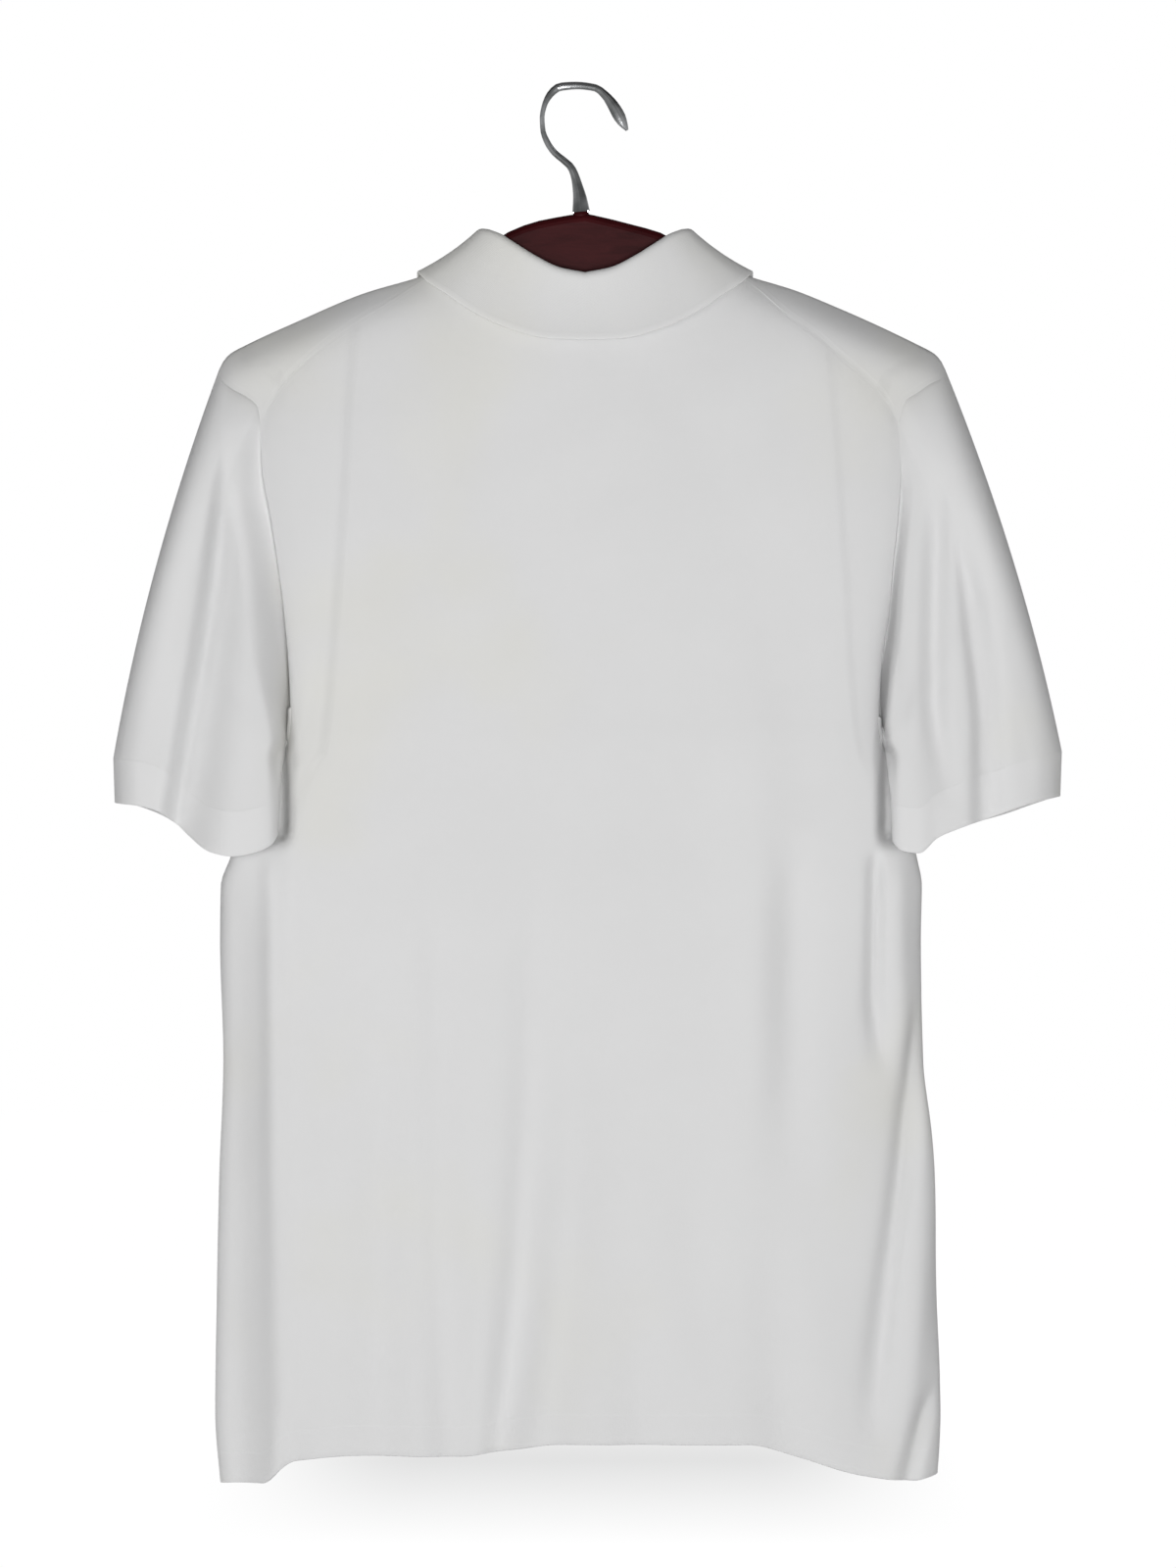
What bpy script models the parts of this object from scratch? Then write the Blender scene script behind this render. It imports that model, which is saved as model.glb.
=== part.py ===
"""A knitted short-sleeved polo shirt that hangs on a wooden hanger with a metal hook.

The origin is the hook's inner seat. The shirt's back faces -Y, its front +Y and the
wearer's right is +X. Sizes in the tables are millimetres, and "drop" is the distance
below the hook's seat.
"""

import math
from collections import namedtuple

import bmesh
import bpy
import numpy as np

MM = 0.001

WALL = 1.8  # knitted cloth
SEAM_GAP = 0.3
UNDERARM_DROP = 407.0
YOKE_SIDE = 97.0
DEPTH_GROWTH = 100.0  # how fast the cloth spreads below the shoulder line
TIP_RIGHT = 220.5
TIP_LEFT = 224.0
CUFF_DEPTH = 27.0
SLEEVE_SWELL = 2.5

BACK_NECK_COLUMNS = (0, 0.06, 0.12, 0.18, 0.235, 0.29, 0.34)
FRONT_NECK_COLUMNS = (0, 0.055, 0.105, 0.15, 0.19, 0.23, 0.27, 0.305, 0.34)
SHOULDER_COLUMNS = 9
HEM_ROWS = 17
BACK_ROWS = 11
CHEST_ROWS = 11
OVER_ROWS = 4
SLEEVE_ROWS = 8
CUFF_ROWS = 2

ShoulderLine = namedtuple("ShoulderLine", "side drop")
SHOULDER_LINE = (
    ShoulderLine(0, 85),
    ShoulderLine(45, 94),
    ShoulderLine(88, 109.5),
    ShoulderLine(103, 115),
    ShoulderLine(134, 125),
    ShoulderLine(176, 143),
    ShoulderLine(205, 156.5),
    ShoulderLine(214, 161.5),
    ShoulderLine(218, 166),
    ShoulderLine(220.5, 171),
)

# Half widths and half depth of the body, and how square its section is.
Body = namedtuple("Body", "drop left right depth square")
BODY = (
    Body(110, 262, 258, 38, 3.5),
    Body(171, 244, 240, 38, 3.5),
    Body(233, 226, 222, 38, 3.5),
    Body(261, 215, 212, 38, 3.5),
    Body(317, 196, 194, 38, 3.5),
    Body(355, 188.5, 187, 38, 3.5),
    Body(407, 187, 185.5, 39, 3.5),
    Body(440, 203, 194, 40, 3.1),
    Body(470, 217, 203, 41, 2.9),
    Body(487, 223, 206, 41, 2.8),
    Body(521, 223.5, 205.5, 42, 2.7),
    Body(593, 221.5, 207, 42, 2.6),
    Body(665, 224, 212.5, 42, 2.6),
    Body(737, 225.5, 215, 41, 2.6),
    Body(809, 226.5, 217.5, 40, 2.6),
    Body(856, 223, 215, 39, 2.6),
)

Hem = namedtuple("Hem", "x drop")
HEM = (
    Hem(-222, 852),
    Hem(-200, 851.5),
    Hem(-176, 837),
    Hem(-138, 833.5),
    Hem(-78, 834),
    Hem(-46, 830),
    Hem(-18, 826),
    Hem(18, 826.5),
    Hem(98, 826.5),
    Hem(130, 834.5),
    Hem(168, 845.5),
    Hem(200, 849.5),
    Hem(216, 846),
)

NeckPoint = namedtuple("NeckPoint", "side drop")
BACK_NECK = (
    NeckPoint(0, 139),
    NeckPoint(22.8, 138.2),
    NeckPoint(44, 134.5),
    NeckPoint(62, 128),
    NeckPoint(76.2, 120),
    NeckPoint(85, 113),
    NeckPoint(88, 109.5),
)
FRONT_NECK = (
    NeckPoint(0, 185),
    NeckPoint(17, 183.6),
    NeckPoint(42, 173.5),
    NeckPoint(59.5, 160),
    NeckPoint(72, 145.5),
    NeckPoint(80.5, 132.5),
    NeckPoint(85.5, 121),
    NeckPoint(87.6, 113.2),
    NeckPoint(88, 109.5),
)
FRONT_YOKE = (
    NeckPoint(0, 197.5),
    NeckPoint(17.5, 196),
    NeckPoint(46, 186),
    NeckPoint(66.5, 171),
    NeckPoint(80.5, 155),
    NeckPoint(90, 140.5),
    NeckPoint(95.5, 127),
    NeckPoint(97.5, 117.4),
    NeckPoint(97, 112.8),
)

# The front wraps over the shoulders to these seams on the back, neck to armhole.
SeamPoint = namedtuple("SeamPoint", "part left left_drop right right_drop")
SHOULDER_SEAM = (
    SeamPoint(0, 88, 109.5, 88, 109.5),
    SeamPoint(0.125, 100, 117.5, 100, 117.8),
    SeamPoint(0.33, 122, 132, 122, 137),
    SeamPoint(0.5, 143, 145, 140, 150),
    SeamPoint(0.65, 160, 158, 155, 163.5),
    SeamPoint(0.8, 177, 173, 170, 176.5),
    SeamPoint(0.92, 190, 190, 183, 190),
    SeamPoint(1, 198, 205, 191, 205),
)
# Top of the armhole, from the shoulder line over to the end of that seam.
ARMHOLE_TOP = (
    SeamPoint(0, 224, 171, 220.5, 171),
    SeamPoint(0.2, 222.5, 177, 218.5, 176.5),
    SeamPoint(0.4, 215, 184, 211, 180.5),
    SeamPoint(0.6, 206, 189, 203, 186),
    SeamPoint(0.8, 199.5, 195.5, 195, 192),
    SeamPoint(1, 198, 205, 191, 205),
)

Armhole = namedtuple("Armhole", "drop left right")
BACK_ARMHOLE = (
    Armhole(205, 198, 191),
    Armhole(233, 196.5, 192),
    Armhole(261, 192.5, 191.5),
    Armhole(290, 189, 188.5),
    Armhole(317, 186.5, 185.5),
    Armhole(355, 184.5, 183.5),
    Armhole(385, 185.5, 184),
    Armhole(407, 187, 185.5),
)
FRONT_ARMHOLE = (
    Armhole(171, 224, 220.5),
    Armhole(182, 219.5, 216),
    Armhole(198, 210, 206),
    Armhole(218, 200, 196),
    Armhole(250, 192, 188),
    Armhole(290, 186.5, 183),
    Armhole(330, 183.5, 181),
    Armhole(365, 183.5, 181.5),
    Armhole(392, 185.8, 184.4),
    Armhole(407, 187, 185.5),
)

# Open edge of each sleeve, from its outer corner round the back to the point under
# the arm, and on round the front. The side next to the body bends in around it.
CuffPoint = namedtuple("CuffPoint", "side y drop under_arm")
RIGHT_CUFF = (
    CuffPoint(291, 0, 432, False),
    CuffPoint(286, -16, 433, False),
    CuffPoint(273, -28, 436, False),
    CuffPoint(256, -32, 441.5, False),
    CuffPoint(241, -34, 447, False),
    CuffPoint(228, -36, 451.5, False),
    CuffPoint(215, -38, 457, False),
    CuffPoint(203, -39.5, 466, False),
    CuffPoint(192, -38, 464, False),
    CuffPoint(187, -34.5, 461, False),
    CuffPoint(193, -29, 458, False),
    CuffPoint(204, -18, 456, False),
    CuffPoint(211, 0, 455, True),
    CuffPoint(210, 14, 455, False),
    CuffPoint(203, 27, 457, False),
    CuffPoint(206, 34, 458, False),
    CuffPoint(222, 38, 454, False),
    CuffPoint(240, 36, 448, False),
    CuffPoint(258, 33, 443, False),
    CuffPoint(275, 26, 437, False),
    CuffPoint(287, 14, 433, False),
)
LEFT_CUFF = (
    CuffPoint(288, 0, 436, False),
    CuffPoint(284, -15, 436.5, False),
    CuffPoint(274, -27, 437.5, False),
    CuffPoint(262, -31, 440.5, False),
    CuffPoint(252, -33, 446.5, False),
    CuffPoint(242, -36, 456, False),
    CuffPoint(229, -39, 465.5, False),
    CuffPoint(214, -41, 468.5, False),
    CuffPoint(201, -40, 465, False),
    CuffPoint(191, -36, 461.5, False),
    CuffPoint(196, -31, 459, False),
    CuffPoint(210, -21, 457, False),
    CuffPoint(222, 0, 456, True),
    CuffPoint(223, 14, 456, False),
    CuffPoint(215, 28, 458, False),
    CuffPoint(219, 36, 459, False),
    CuffPoint(232, 38, 457, False),
    CuffPoint(248, 35, 450, False),
    CuffPoint(264, 31, 442, False),
    CuffPoint(279, 20, 437, False),
)

# Soft troughs (and ridges, with a negative depth) that hang in the cloth.
Fold = namedtuple("Fold", "piece start end x_start x_middle x_end width depth")
FOLDS = (
    Fold("back", 470, 900, -206, -207, -208, 10, 4.0),
    Fold("back", 470, 880, -184, -186, -186, 12, -2.0),
    Fold("back", 520, 900, -124, -125, -124, 17, 3.0),
    Fold("back", 480, 900, -92, -86, -78, 14, 2.2),
    Fold("back", 470, 870, -30, -33, -60, 15, 3.2),
    Fold("back", 340, 640, 104, 106, 104, 18, -2.4),
    Fold("back", 460, 640, 127, 125, 125, 14, 2.4),
    Fold("back", 440, 590, 178, 178, 181, 6, 4.0),
    Fold("back", 550, 800, 204, 190, 178, 10, 4.5),
    Fold("back", 560, 860, 214, 206, 196, 12, -3.0),
    Fold("front", 470, 900, -196, -200, -204, 12, 4.0),
    Fold("front", 500, 900, -104, -98, -90, 20, 3.5),
    Fold("front", 470, 880, 46, 52, 70, 18, 3.5),
    Fold("front", 440, 900, 138, 132, 124, 18, 3.5),
    Fold("front", 480, 860, 196, 190, 184, 12, 4.0),
    Fold("right sleeve back", 225, 440, 216, 210, 221, 9, 6.5),
    Fold("right sleeve back", 250, 480, 224, 241, 241, 10, 9.0),
    Fold("right sleeve front", 250, 480, 214, 226, 230, 13, 8.0),
    Fold("left sleeve back", 190, 480, -218, -234, -254, 11, 10.5),
    Fold("left sleeve front", 240, 480, -216, -230, -240, 13, 8.0),
)

# Collar fold and outer edge, from the middle of the back (part 0) over the shoulder
# line (part 0.5) to the front opening (part 1).
CollarPoint = namedtuple("CollarPoint", "part side y drop")
COLLAR_FOLD = (
    CollarPoint(0, 0, -25, 111),
    CollarPoint(0.083, 16, -24.6, 108),
    CollarPoint(0.167, 31, -22.5, 101),
    CollarPoint(0.25, 43.5, -18, 94.2),
    CollarPoint(0.333, 52.5, -12.5, 89.6),
    CollarPoint(0.417, 58.5, -6.5, 87.9),
    CollarPoint(0.5, 61, 0, 87.5),
    CollarPoint(0.583, 61, 7, 89.5),
    CollarPoint(0.667, 57, 14.5, 98),
    CollarPoint(0.75, 48, 21, 113),
    CollarPoint(0.833, 34, 26, 130),
    CollarPoint(0.917, 18, 29.5, 146),
    CollarPoint(1, 4, 31, 157),
)
COLLAR_EDGE = (
    CollarPoint(0, 0, -31, 151),
    CollarPoint(0.083, 22, -30.5, 150.3),
    CollarPoint(0.167, 45, -28.5, 145),
    CollarPoint(0.25, 66, -25, 136.5),
    CollarPoint(0.333, 84, -19.5, 126),
    CollarPoint(0.417, 97, -10.5, 115.5),
    CollarPoint(0.5, 102, 0, 110.5),
    CollarPoint(0.583, 102.5, 9.5, 113.5),
    CollarPoint(0.667, 99, 20, 125),
    CollarPoint(0.75, 91, 29, 145),
    CollarPoint(0.833, 80, 34.5, 167),
    CollarPoint(0.917, 69, 37.5, 190),
    CollarPoint(1, 58, 39.5, 213),
)
COLLAR_ROLL = 2.8  # outer radius of the fold
COLLAR_OPENING = 1.4  # half the gap at the front
COLLAR_SWELL = 1.6

PLACKET_WALL = 1.6
PLACKET_ROWS = 12
BUTTON_RADIUS = 5.6
BUTTON_HEIGHT = 2.4
BUTTONS = {"button_upper": 208.0, "button_lower": 268.0}

WoodSection = namedtuple("WoodSection", "x top height")
WOOD = (
    WoodSection(-207, 165.5, 8),
    WoodSection(-204.5, 164, 15),
    WoodSection(-198, 161, 21),
    WoodSection(-176, 150.5, 25),
    WoodSection(-134, 131.5, 29),
    WoodSection(-103, 123.5, 31),
    WoodSection(-88, 120.5, 33),
    WoodSection(-75, 111, 37),
    WoodSection(-62, 98.5, 44),
    WoodSection(-52, 89.5, 48),
    WoodSection(-29, 80.2, 49),
    WoodSection(-10, 76.6, 49),
    WoodSection(-3, 75.2, 50),
    WoodSection(7, 77, 49),
    WoodSection(26, 81.6, 47),
    WoodSection(51, 89.2, 48),
    WoodSection(62, 98.5, 44),
    WoodSection(75, 111, 37),
    WoodSection(88, 120.5, 33),
    WoodSection(103, 123.5, 31),
    WoodSection(134, 131.5, 29),
    WoodSection(176, 151, 25),
    WoodSection(194, 160, 21),
    WoodSection(201, 163, 15),
    WoodSection(203.5, 164.5, 8),
)
WOOD_HALF_THICKNESS = 6.0
WOOD_STEPS = 44
WOOD_CORNERS = 4

# Middle of the hook's bar, and its half width in and across the hook's plane.
HookPoint = namedtuple("HookPoint", "x drop wide thick")
HOOK = (
    HookPoint(-2.4, 74.6, 5.4, 5.4),
    HookPoint(-2.7, 71, 4.9, 4.9),
    HookPoint(-3.2, 66, 4.2, 4.2),
    HookPoint(-4.6, 58.8, 3.2, 3.2),
    HookPoint(-6.2, 52.6, 2.6, 2.6),
    HookPoint(-8.6, 47.2, 2.3, 2.3),
    HookPoint(-12.8, 43.2, 2.1, 2.1),
    HookPoint(-18.6, 38.4, 2.0, 2.0),
    HookPoint(-22.9, 32.4, 1.9, 1.9),
    HookPoint(-25.8, 24.6, 1.6, 1.8),
    HookPoint(-26.3, 16.8, 1.5, 1.8),
    HookPoint(-24.9, 9.4, 1.6, 1.7),
    HookPoint(-21.2, 2.4, 2.2, 1.7),
    HookPoint(-15.2, -2, 2.5, 1.7),
    HookPoint(-5, -2.8, 2.3, 1.7),
    HookPoint(6.2, -1.4, 2.2, 1.7),
    HookPoint(12.4, 3.2, 2.6, 1.7),
    HookPoint(16.9, 9, 3.4, 1.7),
    HookPoint(20.4, 15, 3.8, 1.6),
    HookPoint(23, 19.8, 3.0, 1.4),
    HookPoint(25.8, 24.6, 0.9, 0.8),
)
HOOK_STEPS = 48
HOOK_SIDES = 12

CLOTH = ("knitted cloth", (0.80, 0.80, 0.785), 0.92, 0.0)
COLLAR_CLOTH = ("collar rib", (0.79, 0.79, 0.775), 0.92, 0.0)
LACQUERED_WOOD = ("dark lacquered wood", (0.062, 0.011, 0.012), 0.28, 0.0)
CHROME = ("chrome", (0.74, 0.75, 0.77), 0.12, 1.0)
BUTTON_RESIN = ("button resin", (0.78, 0.78, 0.75), 0.3, 0.0)


def smooth(keys, values, at):
    """Value at a place along rising keys, smooth and without overshoot."""
    keys = np.asarray(keys, float)
    values = np.asarray(values, float)
    step = np.diff(keys)
    slope = np.diff(values) / step
    turning = slope[:-1] * slope[1:] <= 0
    total = np.where(turning, 1.0, slope[:-1] + slope[1:])
    inner = np.where(turning, 0.0, 2 * slope[:-1] * slope[1:] / total)
    tangent = np.concatenate([slope[:1], inner, slope[-1:]])
    at = np.clip(at, keys[0], keys[-1])
    i = np.clip(np.searchsorted(keys, at, side="right") - 1, 0, len(step) - 1)
    t = (at - keys[i]) / step[i]
    rise = t * t * (3 - 2 * t)
    start_pull = t * (1 - t) ** 2 * step[i] * tangent[i]
    end_pull = t * t * (t - 1) * step[i] * tangent[i + 1]
    return values[i] + (values[i + 1] - values[i]) * rise + start_pull + end_pull


def read(table, key, column, at):
    """One named column of a table at a place along its key column."""
    keys = [getattr(row, key) for row in table]
    values = [getattr(row, column) for row in table]
    return smooth(keys, values, at)


def ease(t):
    t = np.clip(t, 0, 1)
    return t * t * (3 - 2 * t)


def shoulder_drop(x):
    side = np.where(x < 0, -x * TIP_RIGHT / TIP_LEFT, x)
    return read(SHOULDER_LINE, "side", "drop", side)


def body_half_depth(x, drop):
    """How far the cloth stands in front of or behind the hanger's plane."""
    below = np.maximum(drop - shoulder_drop(x), 0)
    spread = np.sqrt(1 - np.exp(-below / DEPTH_GROWTH))
    left = read(BODY, "drop", "left", drop)
    right = read(BODY, "drop", "right", drop)
    across = np.minimum(np.abs(x) / np.where(x < 0, left, right), 1)
    square = read(BODY, "drop", "square", drop)
    side = (1 - across**square) ** (1 / square)
    return read(BODY, "drop", "depth", drop) * spread * side


def body_columns(neck_columns):
    """Places across a panel, -1 at its left edge to 1 at its right edge."""
    neck_end = neck_columns[-1]
    shoulder = np.linspace(neck_end, 1, SHOULDER_COLUMNS + 1)[1:]
    half = list(neck_columns) + list(shoulder)
    return np.array([-c for c in reversed(half[1:])] + half)


def neck_count(neck_columns):
    return len(neck_columns) - 1


def side_value(columns, left, right):
    return np.where(columns < 0, -left, right)


def across_body(columns, drop):
    left = read(BODY, "drop", "left", drop)
    right = read(BODY, "drop", "right", drop)
    return np.sin(np.pi / 2 * np.abs(columns)) * side_value(columns, left, right)


def hang_rows(columns, face):
    """Rows of the tube below the arms, from the hem up to the underarm."""
    hem = read(HEM, "x", "drop", across_body(columns, HEM[0].drop))
    rows = []
    for part in np.linspace(0, 1, HEM_ROWS + 1):
        drop = hem + (UNDERARM_DROP - hem) * part
        x = across_body(columns, drop)
        rows.append(np.stack([x, face * body_half_depth(x, drop), -drop], 1))
    return rows


def edge_weight(columns, neck_end):
    return np.clip((np.abs(columns) - neck_end) / (1 - neck_end), 0, 1) ** 2


def neck_or_shoulder(columns, neck_columns, neck_table, shoulder_values):
    """Neck table values on the neck columns, and the shoulder's outside them."""
    neck_end = neck_columns[-1]
    side = np.abs(columns)
    keys = np.asarray(neck_columns)
    neck_x = smooth(keys, [row.side for row in neck_table], side)
    neck_drop = smooth(keys, [row.drop for row in neck_table], side)
    part = np.clip((side - neck_end) / (1 - neck_end), 0, 1)
    outer_x, outer_drop = shoulder_values(part, columns < 0)
    on_neck = side <= neck_end + 1e-9
    x = np.where(on_neck, neck_x, outer_x) * np.where(columns < 0, -1, 1)
    return x, np.where(on_neck, neck_drop, outer_drop)


def seam_values(part, is_left):
    x = np.where(
        is_left,
        read(SHOULDER_SEAM, "part", "left", part),
        read(SHOULDER_SEAM, "part", "right", part),
    )
    drop = np.where(
        is_left,
        read(SHOULDER_SEAM, "part", "left_drop", part),
        read(SHOULDER_SEAM, "part", "right_drop", part),
    )
    return x, drop


def ridge_values(part, is_left):
    tip = np.where(is_left, TIP_LEFT, TIP_RIGHT)
    x = YOKE_SIDE + (tip - YOKE_SIDE) * part
    return x, shoulder_drop(np.where(is_left, -x, x))


def armhole_x(table, drop, columns):
    left = read(table, "drop", "left", drop)
    right = read(table, "drop", "right", drop)
    return side_value(columns, left, right)


def rise_rows(columns, neck_end, top, armhole, parts, face):
    """Rows from the underarm up to a top line, with their ends on the armhole."""
    top_x, top_drop = top
    low_x = across_body(columns, UNDERARM_DROP)
    weight = edge_weight(columns, neck_end)
    end_x = np.where(columns < 0, top_x[0], top_x[-1])
    end_drop = np.where(columns < 0, top_drop[0], top_drop[-1])
    low_end = np.where(columns < 0, low_x[0], low_x[-1])
    rows = []
    for part in parts:
        drop = UNDERARM_DROP + (top_drop - UNDERARM_DROP) * part
        edge_drop = UNDERARM_DROP + (end_drop - UNDERARM_DROP) * part
        edge_x = low_end + (end_x - low_end) * part
        pull = armhole_x(armhole, edge_drop, columns) - edge_x
        x = low_x + (top_x - low_x) * part + pull * weight
        rows.append(np.stack([x, face * body_half_depth(x, drop), -drop], 1))
    return rows


def over_rows(columns, neck_end, ridge, top):
    """Rows of the front from the shoulder line over to the seams on the back."""
    ridge_x, ridge_drop = ridge
    top_x, top_drop = top
    weight = edge_weight(columns, neck_end)
    is_neck = np.abs(columns) <= neck_end + 1e-9
    sign = np.where(is_neck, 1, -1)
    ridge_over = sign * np.sqrt(np.maximum(ridge_drop - shoulder_drop(ridge_x), 0))
    top_over = sign * np.sqrt(np.maximum(top_drop - shoulder_drop(top_x), 0))
    rows = []
    for part in np.linspace(0, 1, OVER_ROWS + 1)[1:]:
        left = read(ARMHOLE_TOP, "part", "left", part)
        right = read(ARMHOLE_TOP, "part", "right", part)
        left_drop = read(ARMHOLE_TOP, "part", "left_drop", part)
        right_drop = read(ARMHOLE_TOP, "part", "right_drop", part)
        edge_x = side_value(columns, left, right)
        edge_drop = np.where(columns < 0, left_drop, right_drop)
        edge_over = -np.sqrt(np.maximum(edge_drop - shoulder_drop(edge_x), 0))
        end_x = np.where(columns < 0, top_x[0], top_x[-1])
        start_x = np.where(columns < 0, ridge_x[0], ridge_x[-1])
        end_over = np.where(columns < 0, top_over[0], top_over[-1])
        straight_x = start_x + (end_x - start_x) * part
        x = ridge_x + (top_x - ridge_x) * part + (edge_x - straight_x) * weight
        over = ridge_over + (top_over - ridge_over) * part
        over = over + (edge_over - end_over * part) * weight
        drop = shoulder_drop(x) + over * over
        rows.append(np.stack([x, np.sign(over) * body_half_depth(x, drop), -drop], 1))
    return rows


def back_grid():
    columns = body_columns(BACK_NECK_COLUMNS)
    neck_end = BACK_NECK_COLUMNS[-1]
    top = neck_or_shoulder(columns, BACK_NECK_COLUMNS, BACK_NECK, seam_values)
    parts = np.linspace(0, 1, BACK_ROWS + 1)[1:]
    rows = hang_rows(columns, -1)
    rows += rise_rows(columns, neck_end, top, BACK_ARMHOLE, parts, -1)
    return np.array(rows)


def front_grid():
    columns = body_columns(FRONT_NECK_COLUMNS)
    neck_end = FRONT_NECK_COLUMNS[-1]
    ridge = neck_or_shoulder(columns, FRONT_NECK_COLUMNS, FRONT_YOKE, ridge_values)
    top = neck_or_shoulder(columns, FRONT_NECK_COLUMNS, FRONT_NECK, seam_values)
    parts = 1 - (1 - np.linspace(0, 1, CHEST_ROWS + 1)[1:]) ** 1.5
    rows = hang_rows(columns, 1)
    rows += rise_rows(columns, neck_end, ridge, FRONT_ARMHOLE, parts, 1)
    rows += over_rows(columns, neck_end, ridge, top)
    return np.array(rows)


def grid_normals(grid, wrap, flip):
    """Unit normals at the points of a grid of rows and columns."""
    if wrap:
        along = np.roll(grid, -1, 1) - np.roll(grid, 1, 1)
    else:
        along = np.gradient(grid, axis=1)
    up = np.gradient(grid, axis=0)
    normal = np.cross(along, up) * flip
    return normal / np.linalg.norm(normal, axis=2, keepdims=True)


def fold_depth(piece, x, drop):
    depth = np.zeros_like(x)
    for fold in FOLDS:
        if fold.piece == piece:
            part = (drop - fold.start) / (fold.end - fold.start)
            middle = smooth((0, 0.5, 1), (fold.x_start, fold.x_middle, fold.x_end), part)
            fade = ease(part / 0.3) * ease((1 - part) / 0.15)
            depth += fold.depth * fade * np.exp(-(((x - middle) / fold.width) ** 2))
    return depth


def fold_panel(grid, piece, columns, flip):
    """Push the folds into a panel, and leave its seams where they are."""
    normal = grid_normals(grid, False, flip)
    depth = fold_depth(piece, grid[:, :, 0], -grid[:, :, 2])
    seam_free = 1 - np.abs(columns) ** 10
    return grid - normal * (depth * seam_free)[:, :, None]


def armhole_ring(back, front, column):
    """Armhole points from the shoulder line down the back, and up the front."""
    ridge_row = HEM_ROWS + CHEST_ROWS
    over = [front[ridge_row + i, column] for i in range(OVER_ROWS + 1)]
    down = [back[row, column] for row in range(back.shape[0] - 2, HEM_ROWS - 1, -1)]
    up = [front[row, column] for row in range(HEM_ROWS + 1, ridge_row)]
    under_arm = len(over) + len(down) - 1
    return np.array(over + down + up), under_arm


def ring_parts(ring, under_arm):
    """Place of each ring point by length, 0 at the shoulder and 0.5 at the underarm."""
    closed = np.vstack([ring, ring[:1]])
    length = np.concatenate([[0], np.cumsum(np.linalg.norm(np.diff(closed, axis=0), axis=1))])
    half = length[under_arm]
    back = 0.5 * length / half
    front = 0.5 + 0.5 * (length - half) / (length[-1] - half)
    return np.where(length <= half, back, front)[:-1]


def cuff_ring(table, sign, parts):
    points = np.array([(sign * row.side, row.y, -row.drop) for row in table])
    under_arm = [row.under_arm for row in table].index(True)
    keys = ring_parts(points, under_arm)
    keys = np.concatenate([keys[-2:] - 1, keys, keys[:3] + 1])
    points = np.vstack([points[-2:], points, points[:3]])
    return np.stack([smooth(keys, points[:, i], parts) for i in range(3)], 1)


def sleeve_grids(side, armhole, under_arm):
    """Grids of a sleeve and its cuff, round from the shoulder by the back."""
    sign = 1 if side == "right" else -1
    parts = ring_parts(armhole, under_arm)
    edge = cuff_ring(RIGHT_CUFF if side == "right" else LEFT_CUFF, sign, parts)
    centre = edge.mean(0)
    joint = edge + (edge - centre) * (0.02, 0.03, 0) + (0, 0, CUFF_DEPTH)
    outward = (joint - joint.mean(0)) * (1, 1, 0)
    outward /= np.linalg.norm(outward, axis=1, keepdims=True)
    outer_side = 0.5 + 0.5 * np.cos(2 * np.pi * parts)[:, None]
    rows = []
    for part in np.linspace(0, 1, SLEEVE_ROWS + 1):
        swell = 4 * part * (1 - part) * SLEEVE_SWELL * outer_side * outward
        rows.append(armhole + (joint - armhole) * part + swell)
    for part in np.linspace(0, 1, CUFF_ROWS + 1)[1:]:
        rows.append(joint + (edge - joint) * part)
    grid = np.array(rows)
    x = grid[:, :, 0]
    drop = -grid[:, :, 2]
    back = np.clip(np.sin(2 * np.pi * parts) * 1.6, 0, 1)
    front = np.clip(-np.sin(2 * np.pi * parts) * 1.6, 0, 1)
    away = ease(np.linspace(0, 1, len(rows)) * len(rows) / 3)[:, None]
    grid[:, :, 1] += fold_depth(side + " sleeve back", x, drop) * back * away
    grid[:, :, 1] -= fold_depth(side + " sleeve front", x, drop) * front * away
    return grid[: SLEEVE_ROWS + 1], grid[SLEEVE_ROWS:]


def edge_places(grid, wrap):
    """Grid places on a piece's open edges, with the way into the piece from each."""
    rows, columns = grid.shape[:2]
    inward = {}
    for j in range(columns):
        inward.setdefault((0, j), []).append((1, j))
        inward.setdefault((rows - 1, j), []).append((rows - 2, j))
    if not wrap:
        for i in range(rows):
            inward.setdefault((i, 0), []).append((i, 1))
            inward.setdefault((i, columns - 1), []).append((i, columns - 2))
    return inward


def point_key(point):
    return tuple(int(round(value * 1000)) for value in point)


def seam_normals(pieces):
    """Mean normal, and the number of pieces, at each point on a piece's edge."""
    met = {}
    for grid, wrap, flip in pieces.values():
        normal = grid_normals(grid, wrap, flip)
        for place in edge_places(grid, wrap):
            total, count = met.get(point_key(grid[place]), (np.zeros(3), 0))
            met[point_key(grid[place])] = (total + normal[place], count + 1)
    return met


def cloth_sides(grid, wrap, flip, met):
    """Outer and inner points of a piece, drawn back from the seams it shares."""
    normal = grid_normals(grid, wrap, flip)
    outer = grid.copy()
    inner = grid - WALL * normal
    for place, ways in edge_places(grid, wrap).items():
        total, count = met[point_key(grid[place])]
        if count > 1:
            size = np.linalg.norm(total)
            agree = max(size / count, 0.45)
            inner[place] = grid[place] - WALL / max(agree, 0.7) * total / size
            for way in ways:
                inward = grid[way] - grid[place]
                shift = SEAM_GAP / 2 / agree * inward / np.linalg.norm(inward)
                outer[place] += shift
                inner[place] += shift
    return outer, inner


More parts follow.
